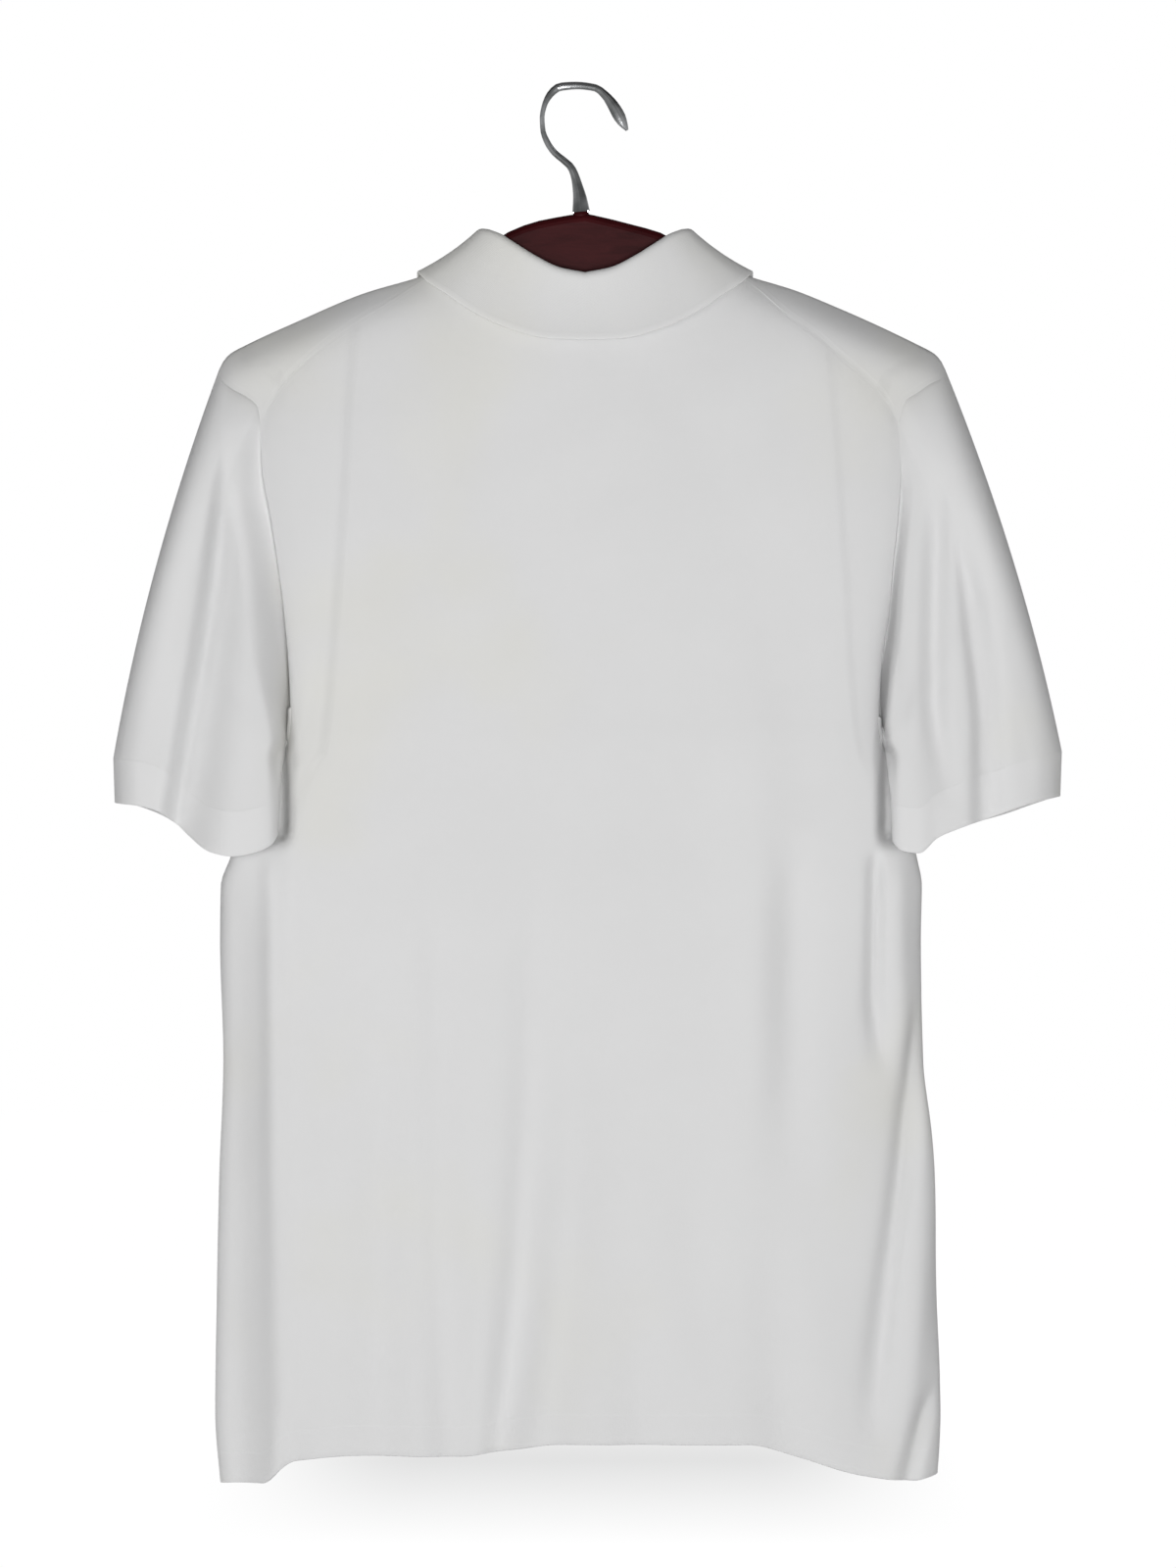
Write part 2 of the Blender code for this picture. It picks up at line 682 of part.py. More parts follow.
def finished_material(finish):
    name, colour, roughness, metallic = finish
    material = bpy.data.materials.new(name)
    material.use_nodes = True
    shader = material.node_tree.nodes["Principled BSDF"]
    shader.inputs["Base Color"].default_value = (*colour, 1)
    shader.inputs["Roughness"].default_value = roughness
    shader.inputs["Metallic"].default_value = metallic
    material.diffuse_color = (*colour, 1)
    return material


def add_object(name, points, faces, finish, parent):
    """An object whose origin is the middle of its points, under a parent."""
    points = np.asarray(points) * MM
    centre = (points.min(0) + points.max(0)) / 2
    mesh = bpy.data.meshes.new(name)
    mesh.from_pydata((points - centre).tolist(), [], faces)
    mesh.materials.append(finished_material(finish))
    mesh.shade_smooth()
    item = bpy.data.objects.new(name, mesh)
    item.location = centre
    item.parent = parent
    bpy.context.scene.collection.objects.link(item)
    return item


def wall_faces(outer, wrap, flip):
    """Triangles of a thin closed wall over a grid, outer side first, then inner."""
    rows, columns = outer.shape[:2]
    count = rows * columns
    height = outer[:, :, 2].ravel()
    last = columns if wrap else columns - 1
    faces = []
    rim = []
    for i in range(rows - 1):
        for j in range(last):
            a, b = i * columns + j, i * columns + (j + 1) % columns
            c, d = b + columns, a + columns
            faces += [(a, b, c), (a, c, d)]
            faces += [(c + count, b + count, a + count), (d + count, c + count, a + count)]
    for j in range(last):
        top = (rows - 1) * columns
        rim += [((j + 1) % columns, j), (top + j, top + (j + 1) % columns)]
    if not wrap:
        for i in range(rows - 1):
            left, right = i * columns, (i + 1) * columns - 1
            rim += [(left, left + columns), (right + columns, right)]
    for a, b in rim:  # pieces that meet here split the rim alike, from its higher end
        if height[a] > height[b]:
            faces += [(a, b, b + count), (a, b + count, a + count)]
        else:
            faces += [(a, b, a + count), (b, b + count, a + count)]
    return faces if flip > 0 else [face[::-1] for face in faces]


def add_wall(name, outer, inner, wrap, flip, finish, parent):
    points = np.vstack([outer.reshape(-1, 3), inner.reshape(-1, 3)])
    return add_object(name, points, wall_faces(outer, wrap, flip), finish, parent)


def neck_loop(sides):
    """Neck edge of the panels from the front opening round the back to it again."""
    back_outer, back_inner = sides["back_panel"]
    front_outer, front_inner = sides["front_panel"]
    back_middle = back_outer.shape[1] // 2
    front_middle = front_outer.shape[1] // 2
    back_count = neck_count(BACK_NECK_COLUMNS)
    front_count = neck_count(FRONT_NECK_COLUMNS)
    half_outer, half_inner, half_part = [], [], []
    for i in range(back_count):
        half_outer.append(back_outer[-1, back_middle + i])
        half_inner.append(back_inner[-1, back_middle + i])
        half_part.append(0.5 * i / back_count)
    for i in range(front_count, -1, -1):
        half_outer.append(front_outer[-1, front_middle + i])
        half_inner.append(front_inner[-1, front_middle + i])
        half_part.append(1 - 0.5 * i / front_count)
    for half in (half_outer, half_inner):
        half[-1] = half[-1] + (half[-2] - half[-1]) * COLLAR_OPENING / half[-2][0]
    mirror = np.array([-1, 1, 1])
    outer = [point * mirror for point in reversed(half_outer[1:])] + half_outer
    inner = [point * mirror for point in reversed(half_inner[1:])] + half_inner
    parts = [-part for part in reversed(half_part[1:])] + half_part
    return np.array(outer), np.array(inner), np.array(parts)


def collar_line(table, parts):
    line = [read(table, "part", column, np.abs(parts)) for column in ("side", "y", "drop")]
    return np.stack([line[0] * np.where(parts < 0, -1, 1), line[1], -line[2]], 1)


def unit(vectors):
    return vectors / np.linalg.norm(vectors, axis=-1, keepdims=True)


def collar_sides(sides):
    """Face and reverse of the collar: up the stand, over the roll and down the fall."""
    neck_outer, neck_inner, parts = neck_loop(sides)
    fold = collar_line(COLLAR_FOLD, parts)
    edge = collar_line(COLLAR_EDGE, parts)
    stand = unit(fold - neck_inner)
    fall = unit(edge - fold)
    away = unit(fall - stand * np.sum(fall * stand, 1, keepdims=True))
    middle = fold - stand * COLLAR_ROLL
    start = neck_inner + stand * SEAM_GAP
    rows = [start]
    stand_top = middle - away * COLLAR_ROLL
    for part in (0.35, 0.7):
        rows.append(start + (stand_top - start) * part)
    for angle in np.linspace(0, np.pi, 6):
        rows.append(middle - away * COLLAR_ROLL * np.cos(angle) + stand * COLLAR_ROLL * np.sin(angle))
    fall_top = rows[-1]
    outward = unit(np.cross(np.gradient(edge, axis=0), edge - fall_top))
    for part in (0.3, 0.65, 1):
        swell = 4 * part * (1 - part) * COLLAR_SWELL
        rows.append(fall_top + (edge - fall_top) * part + outward * swell)
    face = np.array(rows)
    reverse = face - WALL * grid_normals(face, False, 1)
    reverse[0] = neck_outer + stand * SEAM_GAP
    return face, reverse


def add_collar(sides, parent):
    face, reverse = collar_sides(sides)
    return add_wall("collar", face, reverse, False, 1, COLLAR_CLOTH, parent)


def placket_sides(front_outer):
    """The strip over the front opening, raised from the front's own points."""
    middle = front_outer.shape[1] // 2
    base = front_outer[-1 - PLACKET_ROWS :, middle - 1 : middle + 2]
    normal = grid_normals(base, False, -1)
    return base + (SEAM_GAP + PLACKET_WALL) * normal, base + SEAM_GAP * normal


def add_button(name, drop, front_y, parent):
    mesh = bpy.data.meshes.new(name)
    shape = bmesh.new()
    bmesh.ops.create_cone(
        shape, cap_ends=True, segments=28, radius1=BUTTON_RADIUS * MM,
        radius2=BUTTON_RADIUS * MM, depth=BUTTON_HEIGHT * MM,
    )
    face = max(shape.faces, key=lambda f: f.calc_center_median().z)
    rim = list(face.edges)
    bmesh.ops.bevel(shape, geom=rim, offset=0.5 * MM, segments=2, affect="EDGES")
    face = max(shape.faces, key=lambda f: (f.calc_center_median().z, f.calc_area()))
    bmesh.ops.inset_region(shape, faces=[face], thickness=1.3 * MM, depth=-0.5 * MM)
    shape.to_mesh(mesh)
    shape.free()
    mesh.materials.append(finished_material(BUTTON_RESIN))
    mesh.shade_smooth()
    mesh.set_sharp_from_angle(angle=math.radians(35))
    item = bpy.data.objects.new(name, mesh)
    item.location = (0, (front_y + BUTTON_HEIGHT / 2) * MM, -drop * MM)
    item.rotation_euler = (-math.pi / 2, 0, 0)
    item.parent = parent
    bpy.context.scene.collection.objects.link(item)
    return item


def ring_faces(rings, count, flip):
    """Faces between neighbouring rings of points."""
    faces = []
    for i in range(rings - 1):
        for j in range(count):
            a, b = i * count + j, i * count + (j + 1) % count
            faces.append((a, b, b + count, a + count)[::flip])
    return faces


def add_wood(parent):
    """The hanger's arms: rounded sections along X."""
    bend = np.linspace(-1, 1, WOOD_STEPS + 1)
    xs = np.where(bend < 0, -bend * WOOD[0].x, bend * WOOD[-1].x)
    rings = []
    for x in xs:
        top = read(WOOD, "x", "top", x)
        height = read(WOOD, "x", "height", x)
        half = WOOD_HALF_THICKNESS * min(1, 0.45 + 0.55 * (height - 9) / 8)
        radius = min(half * 0.85, height * 0.42)
        ring = []
        for corner, (side, end) in enumerate(((1, 1), (-1, 1), (-1, -1), (1, -1))):
            y = side * (half - radius)
            z = -top - radius if end > 0 else -top - height + radius
            for step in np.linspace(0, 1, WOOD_CORNERS + 1):
                angle = (corner + step) * np.pi / 2
                ring.append((x, y + radius * np.cos(angle), z + radius * np.sin(angle)))
        rings.append(ring)
    count = len(rings[0])
    points = [point for ring in rings for point in ring]
    faces = [tuple(reversed(range(count)))]
    faces.append(tuple(range(len(points) - count, len(points))))
    faces += ring_faces(len(rings), count, 1)
    item = add_object("hanger_wood", points, faces, LACQUERED_WOOD, parent)
    item.data.set_sharp_from_angle(angle=math.radians(50))
    return item


def add_hook(parent):
    """Bent bar, flattened towards its tip, whose foot widens into a cone on the wood."""
    points = np.array([(row.x, -row.drop) for row in HOOK])
    keys = np.concatenate([[0], np.cumsum(np.linalg.norm(np.diff(points, axis=0), axis=1))])
    at = np.linspace(0, keys[-1], HOOK_STEPS + 1)
    x = smooth(keys, points[:, 0], at)
    z = smooth(keys, points[:, 1], at)
    wide = smooth(keys, [row.wide for row in HOOK], at)
    thick = smooth(keys, [row.thick for row in HOOK], at)
    run = unit(np.stack([np.gradient(x), np.gradient(z)], 1))
    rings = []
    for i in range(HOOK_STEPS + 1):
        for angle in np.arange(HOOK_SIDES) * 2 * np.pi / HOOK_SIDES:
            out = wide[i] * np.cos(angle)
            across = thick[i] * np.sin(angle)
            rings.append((x[i] - out * run[i, 1], across, z[i] + out * run[i, 0]))
    faces = [tuple(range(HOOK_SIDES))]
    faces.append(tuple(reversed(range(len(rings) - HOOK_SIDES, len(rings)))))
    faces += ring_faces(HOOK_STEPS + 1, HOOK_SIDES, -1)
    item = add_object("hanger_hook", rings, faces, CHROME, parent)
    item.data.set_sharp_from_angle(angle=math.radians(60))
    return item


def cloth_pieces():
    """Grid, wrap and side of each flat or tubular cloth piece."""
    back = back_grid()
    front = front_grid()
    pieces = {}
    for side, column in (("left", 0), ("right", -1)):
        ring, under_arm = armhole_ring(back, front, column)
        sleeve, cuff = sleeve_grids(side, ring, under_arm)
        flip = 1 if side == "right" else -1
        pieces["sleeve_" + side] = (sleeve, True, flip)
        pieces["cuff_" + side] = (cuff, True, flip)
    back_columns = body_columns(BACK_NECK_COLUMNS)
    front_columns = body_columns(FRONT_NECK_COLUMNS)
    pieces["back_panel"] = (fold_panel(back, "back", back_columns, 1), False, 1)
    pieces["front_panel"] = (fold_panel(front, "front", front_columns, -1), False, -1)
    return pieces


def build():
    for item in list(bpy.data.objects):
        bpy.data.objects.remove(item, do_unlink=True)
    garment = bpy.data.objects.new("garment_on_hanger", None)
    bpy.context.scene.collection.objects.link(garment)
    pieces = cloth_pieces()
    met = seam_normals(pieces)
    sides = {}
    for name, (grid, wrap, flip) in pieces.items():
        outer, inner = cloth_sides(grid, wrap, flip, met)
        sides[name] = (outer, inner)
        add_wall(name, outer, inner, wrap, flip, CLOTH, garment)
    add_collar(sides, garment)
    front_outer = sides["front_panel"][0]
    outer, inner = placket_sides(front_outer)
    add_wall("placket", outer, inner, False, -1, CLOTH, garment)
    for name, drop in BUTTONS.items():
        front_y = body_half_depth(np.array(0.0), np.array(drop)) + 2 * SEAM_GAP + PLACKET_WALL + 0.3
        add_button(name, drop, float(front_y), garment)
    add_wood(garment)
    add_hook(garment)


build()
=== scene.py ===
import math

import bmesh
import bpy
import mathutils
import numpy as np
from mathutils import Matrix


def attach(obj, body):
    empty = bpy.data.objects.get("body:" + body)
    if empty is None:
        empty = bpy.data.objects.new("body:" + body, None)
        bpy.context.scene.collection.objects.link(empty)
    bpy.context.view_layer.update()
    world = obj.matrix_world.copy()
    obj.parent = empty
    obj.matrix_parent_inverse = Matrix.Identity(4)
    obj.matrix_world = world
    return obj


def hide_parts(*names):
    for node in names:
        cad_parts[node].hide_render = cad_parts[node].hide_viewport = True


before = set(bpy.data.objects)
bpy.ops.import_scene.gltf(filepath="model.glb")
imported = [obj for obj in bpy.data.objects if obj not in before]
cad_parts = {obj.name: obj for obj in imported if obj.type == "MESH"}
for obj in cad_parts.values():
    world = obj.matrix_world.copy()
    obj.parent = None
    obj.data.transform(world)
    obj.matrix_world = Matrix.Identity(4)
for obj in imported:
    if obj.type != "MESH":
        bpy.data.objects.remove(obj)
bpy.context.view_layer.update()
mm = 0.001

# The shirt hangs with its back to -Y and the wearer's right to +X. Tables are in
# millimetres, and a drop is the distance below the hook's seat.
shirt = {
    "wall": 1.8,  # thickness of the knitted cloth
    "seamGap": 0.05,
    "underarmDrop": 407,
    "depthGrowth": 100,  # how fast the cloth spreads below the shoulder line, at the neck
    "steep": 0.68,  # share of that spread next to the shoulder line, towards the arms
    "steepRun": 15,  # how far down it takes
    "slopeRun": 75,  # and how far the rest runs down
    "ridge": 0.034,  # spread at the shoulder line itself
    "ridgeRun": 3,
    "neckEnd": 60,  # where the neck's spread begins to give way to the shoulders'
    "neckRun": 110,
    "tipRight": 220.5,
    "tipLeft": 224,
    "hemBand": 17,
    "hemFade": 3,
    "hemRaise": 0.4,
    "unevenness": 0.35,
    "still": 10,  # power by which the folds die out at a panel's sides
}
panel = {"columnSteps": 6, "rowSteps": 6, "shoulderColumns": 9, "hangRows": 17, "backRows": 11,
         "chestRows": 11, "overRows": 4, "yokeSide": 97}

# side, drop
shoulderLine = np.array([
    (0, 85), (45, 94), (88, 109.5), (103, 115), (134, 125), (176, 143), (205, 156.5), (214, 161.5),
    (218, 166), (220.5, 171),
])
# drop, half width to the left and right, half depth, squareness of the section
bodySections = np.array([
    (110, 262, 258, 38, 3.5), (171, 244, 240, 38, 3.6), (233, 226, 222, 38, 4.6),
    (261, 213, 210, 38, 5.6), (317, 188, 188, 38, 7.5), (355, 181.5, 181, 38, 8.5),
    (385, 180, 179.5, 38.5, 8.2), (398, 181.5, 181, 39, 7.9), (407, 187, 186, 39, 7.6),
    (419, 196, 192, 39, 7.1),
    (440, 205, 196, 39.5, 6), (470, 217, 203, 40.5, 4.6), (487, 223, 206, 41, 4),
    (521, 223.5, 205.5, 41.5, 3.2), (593, 221.5, 207, 42, 2.6),
    (665, 224, 212.5, 42, 2.6), (737, 225.5, 215, 41, 2.6), (809, 226.5, 217.5, 40, 2.6),
    (856, 223, 215, 39, 2.6),
])
# x, drop
hemLine = np.array([
    (-222, 852), (-200, 851.5), (-176, 837), (-138, 833.5), (-78, 834), (-46, 830), (-18, 826),
    (18, 826.5), (98, 826.5), (130, 834.5), (168, 845.5), (200, 849.5), (216, 846),
])
# place across the panel, side, drop
backNeck = np.array([
    (0, 0, 139), (0.06, 22.8, 138.2), (0.12, 44, 134.5), (0.18, 62, 128), (0.235, 76.2, 120),
    (0.29, 85, 113), (0.34, 88, 109.5),
])
frontNeck = np.array([
    (0, 0, 185), (0.055, 17, 183.6), (0.105, 42, 173.5), (0.15, 59.5, 160), (0.19, 72, 145.5),
    (0.23, 80.5, 132.5), (0.27, 85.5, 121), (0.305, 87.6, 113.2), (0.34, 88, 109.5),
])
frontYoke = np.array([
    (0, 0, 197.5), (0.055, 17.5, 196), (0.105, 46, 186), (0.15, 66.5, 171), (0.19, 80.5, 155),
    (0.23, 90, 140.5), (0.27, 95.5, 127), (0.305, 97.5, 117.4), (0.34, 97, 112.8),
])
# part, left side, left drop, right side, right drop
shoulderSeam = np.array([
    (0, 88, 109.5, 88, 109.5), (0.125, 100, 117.5, 100, 117.8), (0.33, 122, 132, 122, 137),
    (0.5, 143, 145, 140, 150), (0.65, 160, 158, 155, 163.5), (0.8, 177, 173, 170, 176.5),
    (0.92, 190, 190, 183, 190), (1, 198, 205, 191, 205),
])
armholeTop = np.array([
    (0, 224, 171, 220.5, 171), (0.2, 222.5, 177, 218.5, 176.5), (0.4, 215, 184, 211, 180.5),
    (0.6, 206, 189, 203, 186), (0.8, 199.5, 195.5, 195, 192), (1, 198, 205, 191, 205),
])
# drop, left, right
backArmhole = np.array([
    (205, 198, 191), (233, 196.5, 192), (261, 191.5, 190.5), (290, 187, 187.5), (317, 183.5, 185.4),
    (355, 180.6, 180.5), (385, 179.6, 179.2), (398, 181, 180.5), (407, 187, 186),
])
frontArmhole = np.array([
    (171, 224, 220.5), (182, 219.5, 216), (198, 210, 206), (218, 200, 196), (250, 192, 188),
    (290, 186.5, 183), (330, 182, 180.6), (365, 180.4, 179.8), (392, 180.3, 179.8),
    (407, 187, 186),
])

# Troughs that hang in the cloth, or ridges where the depth is negative. Each is how
# far it leans (a steep right wall above 0), and the drop, x, width and depth of points
# down its middle.
folds = {
    "back": [
        (0, [(466, -214, 16, 0), (520, -216, 20, 7), (700, -217, 22, 9), (880, -216, 24, 12)]),
        (0, [(462, -190, 6, 0), (480, -190, 7, -4), (600, -189, 8, -4.5), (760, -186, 10, -4),
             (880, -182, 11, -3)]),
        (0, [(520, -124, 16, 0), (640, -125, 18, 5), (780, -126, 18, 6), (880, -124, 19, 8)]),
        (-0.1, [(470, -90, 12, 0), (580, -89, 14, 4), (700, -87, 15, 5), (880, -79, 15, 8)]),
        (-0.2, [(470, -30, 15, 0), (600, -32, 16, 6), (700, -37, 16, 9), (780, -45, 15, 12),
                (840, -53, 14, 11), (880, -58, 13, 8)]),
        (0, [(560, -8, 18, 0), (680, -12, 19, -4), (780, -22, 19, -5), (870, -34, 18, -3)]),
        (0, [(330, 104, 18, 0), (420, 105, 20, -4), (560, 106, 20, -4), (640, 104, 18, 0)]),
        (0, [(450, 127, 13, 0), (510, 126, 14, 6), (600, 125, 15, 5), (700, 124, 16, 0)]),
        (0.3, [(464, 178, 4, 0), (480, 178, 4, 7), (550, 178, 5, 7.5), (600, 181, 6, 0)]),
        (0, [(462, 190, 8, 0), (490, 190, 8, -4), (560, 192, 8, -4), (620, 196, 8, 0)]),
        (0.35, [(550, 205, 5, 0), (600, 202, 6, 8), (660, 196, 6, 10), (700, 190, 6, 9),
                (760, 182, 7, 7), (830, 174, 8, 0)]),
        (0, [(580, 214, 9, 0), (640, 210, 10, -6), (740, 202, 10, -6), (840, 194, 11, -2),
             (870, 193, 11, 0)]),
        (0, [(700, 30, 16, 0), (800, 34, 17, 4), (880, 36, 18, 6)]),
        (0, [(600, 66, 18, 0), (720, 70, 20, 3), (800, 76, 20, 0)]),
        (0, [(660, 110, 16, 0), (780, 118, 17, 4), (880, 124, 17, 6)]),
        (0.3, [(786, 216, 5, 0), (812, 208, 6, 7), (845, 199, 6, 7), (880, 192, 7, 6)]),
        (-0.2, [(800, -180, 7, 0), (825, -180, 8, 4), (880, -180, 9, 6)]),
        (0, [(150, 40, 24, 0), (190, 60, 26, 1.2), (260, 92, 30, 1.6), (340, 112, 30, 0)]),
        (0, [(150, -40, 24, 0), (200, -66, 26, 1.2), (270, -100, 30, 1.6), (350, -118, 30, 0)]),
    ],
    "front": [
        (0, [(470, -196, 12, 0), (600, -199, 12, 4), (880, -204, 13, 4)]),
        (0, [(500, -104, 18, 0), (640, -99, 20, 5), (880, -90, 22, 5)]),
        (0.2, [(470, 46, 13, 0), (600, 50, 14, 5), (880, 68, 15, 5)]),
        (0, [(440, 138, 14, 0), (600, 133, 15, 5), (880, 124, 16, 5)]),
        (0, [(480, 196, 12, 0), (600, 192, 12, 4), (840, 184, 13, 3), (870, 184, 13, 0)]),
        (-0.2, [(560, -30, 13, 0), (700, -28, 14, 3), (880, -22, 16, 4)]),
        (0, [(230, 60, 24, 0), (300, 84, 26, 1.6), (380, 104, 30, 0)]),
        (0, [(230, -62, 24, 0), (310, -88, 26, 1.6), (390, -110, 30, 0)]),
    ],
    "right sleeve back": [
        (0, [(225, 216, 6, 0), (290, 213, 7, 7), (370, 212, 7, 8), (440, 221, 8, 0)]),
        (-0.3, [(250, 226, 7, 0), (330, 236, 7, 9), (400, 243, 8, 11), (450, 243, 9, 7),
                (490, 241, 10, 0)]),
        (0, [(300, 262, 10, 0), (380, 268, 12, 2), (440, 268, 12, 0)]),
    ],
    "right sleeve front": [
        (0, [(250, 214, 12, 0), (350, 223, 13, 8), (440, 229, 13, 8), (480, 230, 13, 0)]),
    ],
    "left sleeve back": [
        (-0.45, [(205, -217, 5, 0), (228, -219, 7, 8), (260, -222, 8, 14), (305, -226, 10, 18),
                 (365, -234.5, 12, 20), (413, -242, 13, 21), (450, -248, 13, 19),
                 (490, -252, 13, 0)]),
    ],
    "left sleeve front": [
        (0, [(240, -216, 12, 0), (340, -225, 13, 8), (440, -236, 13, 8), (480, -240, 13, 0)]),
    ],
}

sleeve = {
    "rows": 8, "rowSteps": 6, "cuffDepth": 27, "cuffRows": 12,
    "joint": (0.02, 0.03, 0),  # how much wider it is above the cuff
    "share": 0.8,  # of its length above the cuff
    "closer": 1.5,  # how much closer the rows lie near the armhole
    "swell": 6,
    "puff": 17,  # how square its outer edge is
    "puffWidth": 0.05,  # over what part of its girth
    "sides": 1.6,  # how soon its back and front take up the folds
    "foldStart": 11 / 3,  # how soon the folds set in below the armhole
    "sinkRun": 1.3,  # how far from the armhole a tuck takes to reach its depth
    "sinkSide": 0.3,
}
# Where a sleeve sinks in beside the body's back: drop, width and depth.
tucks = {
    "left": np.array([
        (205, 18, 0), (235, 23, 7), (260, 25, 13), (311, 25, 17), (344, 23, 18), (374, 17, 19),
        (400, 10, 18), (410, 6, 12), (424, 5, 4), (462, 5, 0),
    ]),
    "right": np.array([
        (225, 8, 0), (255, 9, 6), (305, 9, 14), (340, 10, 18), (365, 8, 24), (400, 6, 22),
        (410, 5, 12), (424, 5, 3), (462, 5, 0),
    ]),
}
# Where the back steps in behind a sleeve: its start and end by drop and by side, each
# with the length that it takes, how deep, and the share of the depth that is left.
hollow = {"drops": ((380, 25), (465, 12)), "sides": ((176, 9), (218, 22)), "depth": 28,
          "left": 0.12}
# Open edge of each sleeve, round from its outer corner by the back: side, y, drop and
# 1 at the point under the arm. The side next to the body bends in around it.
cuffEdges = {
    "right": np.array([
        (291, 0, 432, 0), (286, -16, 433, 0), (273, -28, 436, 0), (256, -32, 441.5, 0),
        (241, -34, 447, 0), (228, -36, 451.5, 0), (215, -38, 457, 0), (203, -40, 466.5, 0),
        (192.5, -38, 465, 0), (187, -32, 459, 0), (188.5, -25, 456, 0), (200, -16, 455, 0),
        (211, 0, 455, 1), (210, 14, 455, 0), (203, 27, 457, 0), (206, 34, 458, 0),
        (222, 38, 454, 0), (240, 36, 448, 0), (258, 33, 443, 0), (275, 26, 437, 0),
        (287, 14, 433, 0),
    ]),
    "left": np.array([
        (288, 0, 436, 0), (284, -15, 436.5, 0), (274, -27, 437.5, 0), (262, -31, 440.5, 0),
        (252, -33, 446.5, 0), (242, -36, 456, 0), (229, -39, 465.5, 0), (214, -41, 468.5, 0),
        (200, -40, 466, 0), (190, -36, 461, 0), (187, -29, 456, 0), (200, -20, 455, 0),
        (222, 0, 456, 1), (223, 14, 456, 0), (215, 28, 458, 0), (219, 36, 459, 0),
        (232, 38, 457, 0), (248, 35, 450, 0), (264, 31, 442, 0), (279, 20, 437, 0),
    ]),
}

# Collar fold and outer edge, from the middle of the back (part 0) over the shoulder
# line (0.5) to the front opening (1): part, side, y, drop.
collar = {"roll": 2.8, "opening": 1.4, "swell": 1.6, "standRows": 8, "rollRows": 10, "fallRows": 22}
collarFold = np.array([
    (0, 0, -25, 114.5), (0.083, 16, -24.6, 111.3), (0.167, 31, -22.5, 104), (0.25, 43.5, -18, 96),
    (0.333, 52.5, -12.5, 90.2), (0.417, 58.5, -6.5, 87.9), (0.5, 61, 0, 87.5), (0.583, 61, 7, 89.5),
    (0.667, 57, 14.5, 98), (0.75, 48, 21, 113), (0.833, 34, 26, 130), (0.917, 18, 29.5, 146),
    (1, 4, 31, 157),
])
collarEdge = np.array([
    (0, 0, -31, 154), (0.083, 22, -30.5, 153.2), (0.167, 45, -28.5, 147.5), (0.25, 66, -25, 138),
    (0.333, 84, -19.5, 126), (0.417, 97, -11, 117), (0.5, 101.5, 0, 112.6),
    (0.583, 102, 9.5, 115.3), (0.667, 99, 20, 125), (0.75, 91, 29, 145), (0.833, 80, 34.5, 167),
    (0.917, 69, 37.5, 190), (1, 58, 39.5, 213),
])

placket = {"wall": 1.6, "rows": 12}
button = {
    "radius": 5.6, "height": 2.4, "drops": {"Upper": 208, "Lower": 268}, "holeRadius": 0.75,
    "holeSpread": 1.5, "lift": 0.3, "slit": 6.6, "slitEnd": 0.9, "thread": 0.3,
    "slitThread": 0.4,
    "outline": [  # shares of its radius and height
        (0.3, 0), (0.86, 0), (0.97, 0.16), (1, 0.42), (0.99, 0.7), (0.94, 0.93), (0.87, 1),
        (0.79, 0.96), (0.72, 0.82), (0.64, 0.73), (0.3, 0.7),
    ],
}


# Smooth value at a place along rising keys, without overshoot.
def smooth(keys, values, at):
    step = np.diff(keys)
    slope = np.diff(values) / step
    turning = slope[:-1] * slope[1:] <= 0
    total = np.where(turning, 1.0, slope[:-1] + slope[1:])
    inner = np.where(turning, 0.0, 2 * slope[:-1] * slope[1:] / total)
    tangent = np.concatenate([slope[:1], inner, slope[-1:]])
    at = np.clip(at, keys[0], keys[-1])
    i = np.clip(np.searchsorted(keys, at, side="right") - 1, 0, len(step) - 1)
    t = (at - keys[i]) / step[i]
    pull = t * (1 - t) ** 2 * step[i] * tangent[i] + t * t * (t - 1) * step[i] * tangent[i + 1]
    return values[i] + (values[i + 1] - values[i]) * t * t * (3 - 2 * t) + pull


def read(table, column, at):
    return smooth(table[:, 0], table[:, column], at)


def ease(t):
    t = np.clip(t, 0, 1)
    return t * t * (3 - 2 * t)


def unit(vectors):
    return vectors / np.linalg.norm(vectors, axis=-1, keepdims=True)


# Each step between the keys divided again.
def finer(keys, steps):
    count = len(keys) - 1
    return np.interp(np.linspace(0, count, count * steps + 1), np.arange(count + 1), keys)


def shoulderDrop(x):
    return read(shoulderLine, 1, np.where(x < 0, -x * shirt["tipRight"] / shirt["tipLeft"], x))


# How far the cloth stands in front of or behind the hanger.
def halfDepth(x, drop):
    below = np.maximum(drop - shoulderDrop(x), 0)
    rounded = 1 - np.exp(-below / shirt["depthGrowth"])
    steep = shirt["steep"] * np.tanh(below / shirt["steepRun"])
    steep = steep + (1 - shirt["steep"]) * np.tanh(below / shirt["slopeRun"])
    slope = steep**2 + shirt["ridge"] * (1 - np.exp(-below / shirt["ridgeRun"]))
    outside = ease((np.abs(x) - shirt["neckEnd"]) / shirt["neckRun"])
    spread = np.sqrt(rounded + (slope - rounded) * outside)
    width = np.where(x < 0, read(bodySections, 1, drop), read(bodySections, 2, drop))
    square = read(bodySections, 4, drop)
    across = np.minimum(np.abs(x) / width, 1)
    return read(bodySections, 3, drop) * spread * (1 - across**square) ** (1 / square)


# Where the front's own cloth lies, at its middle.
def frontPlace(drop):
    return float(halfDepth(np.array(0.0), np.array(float(drop))))


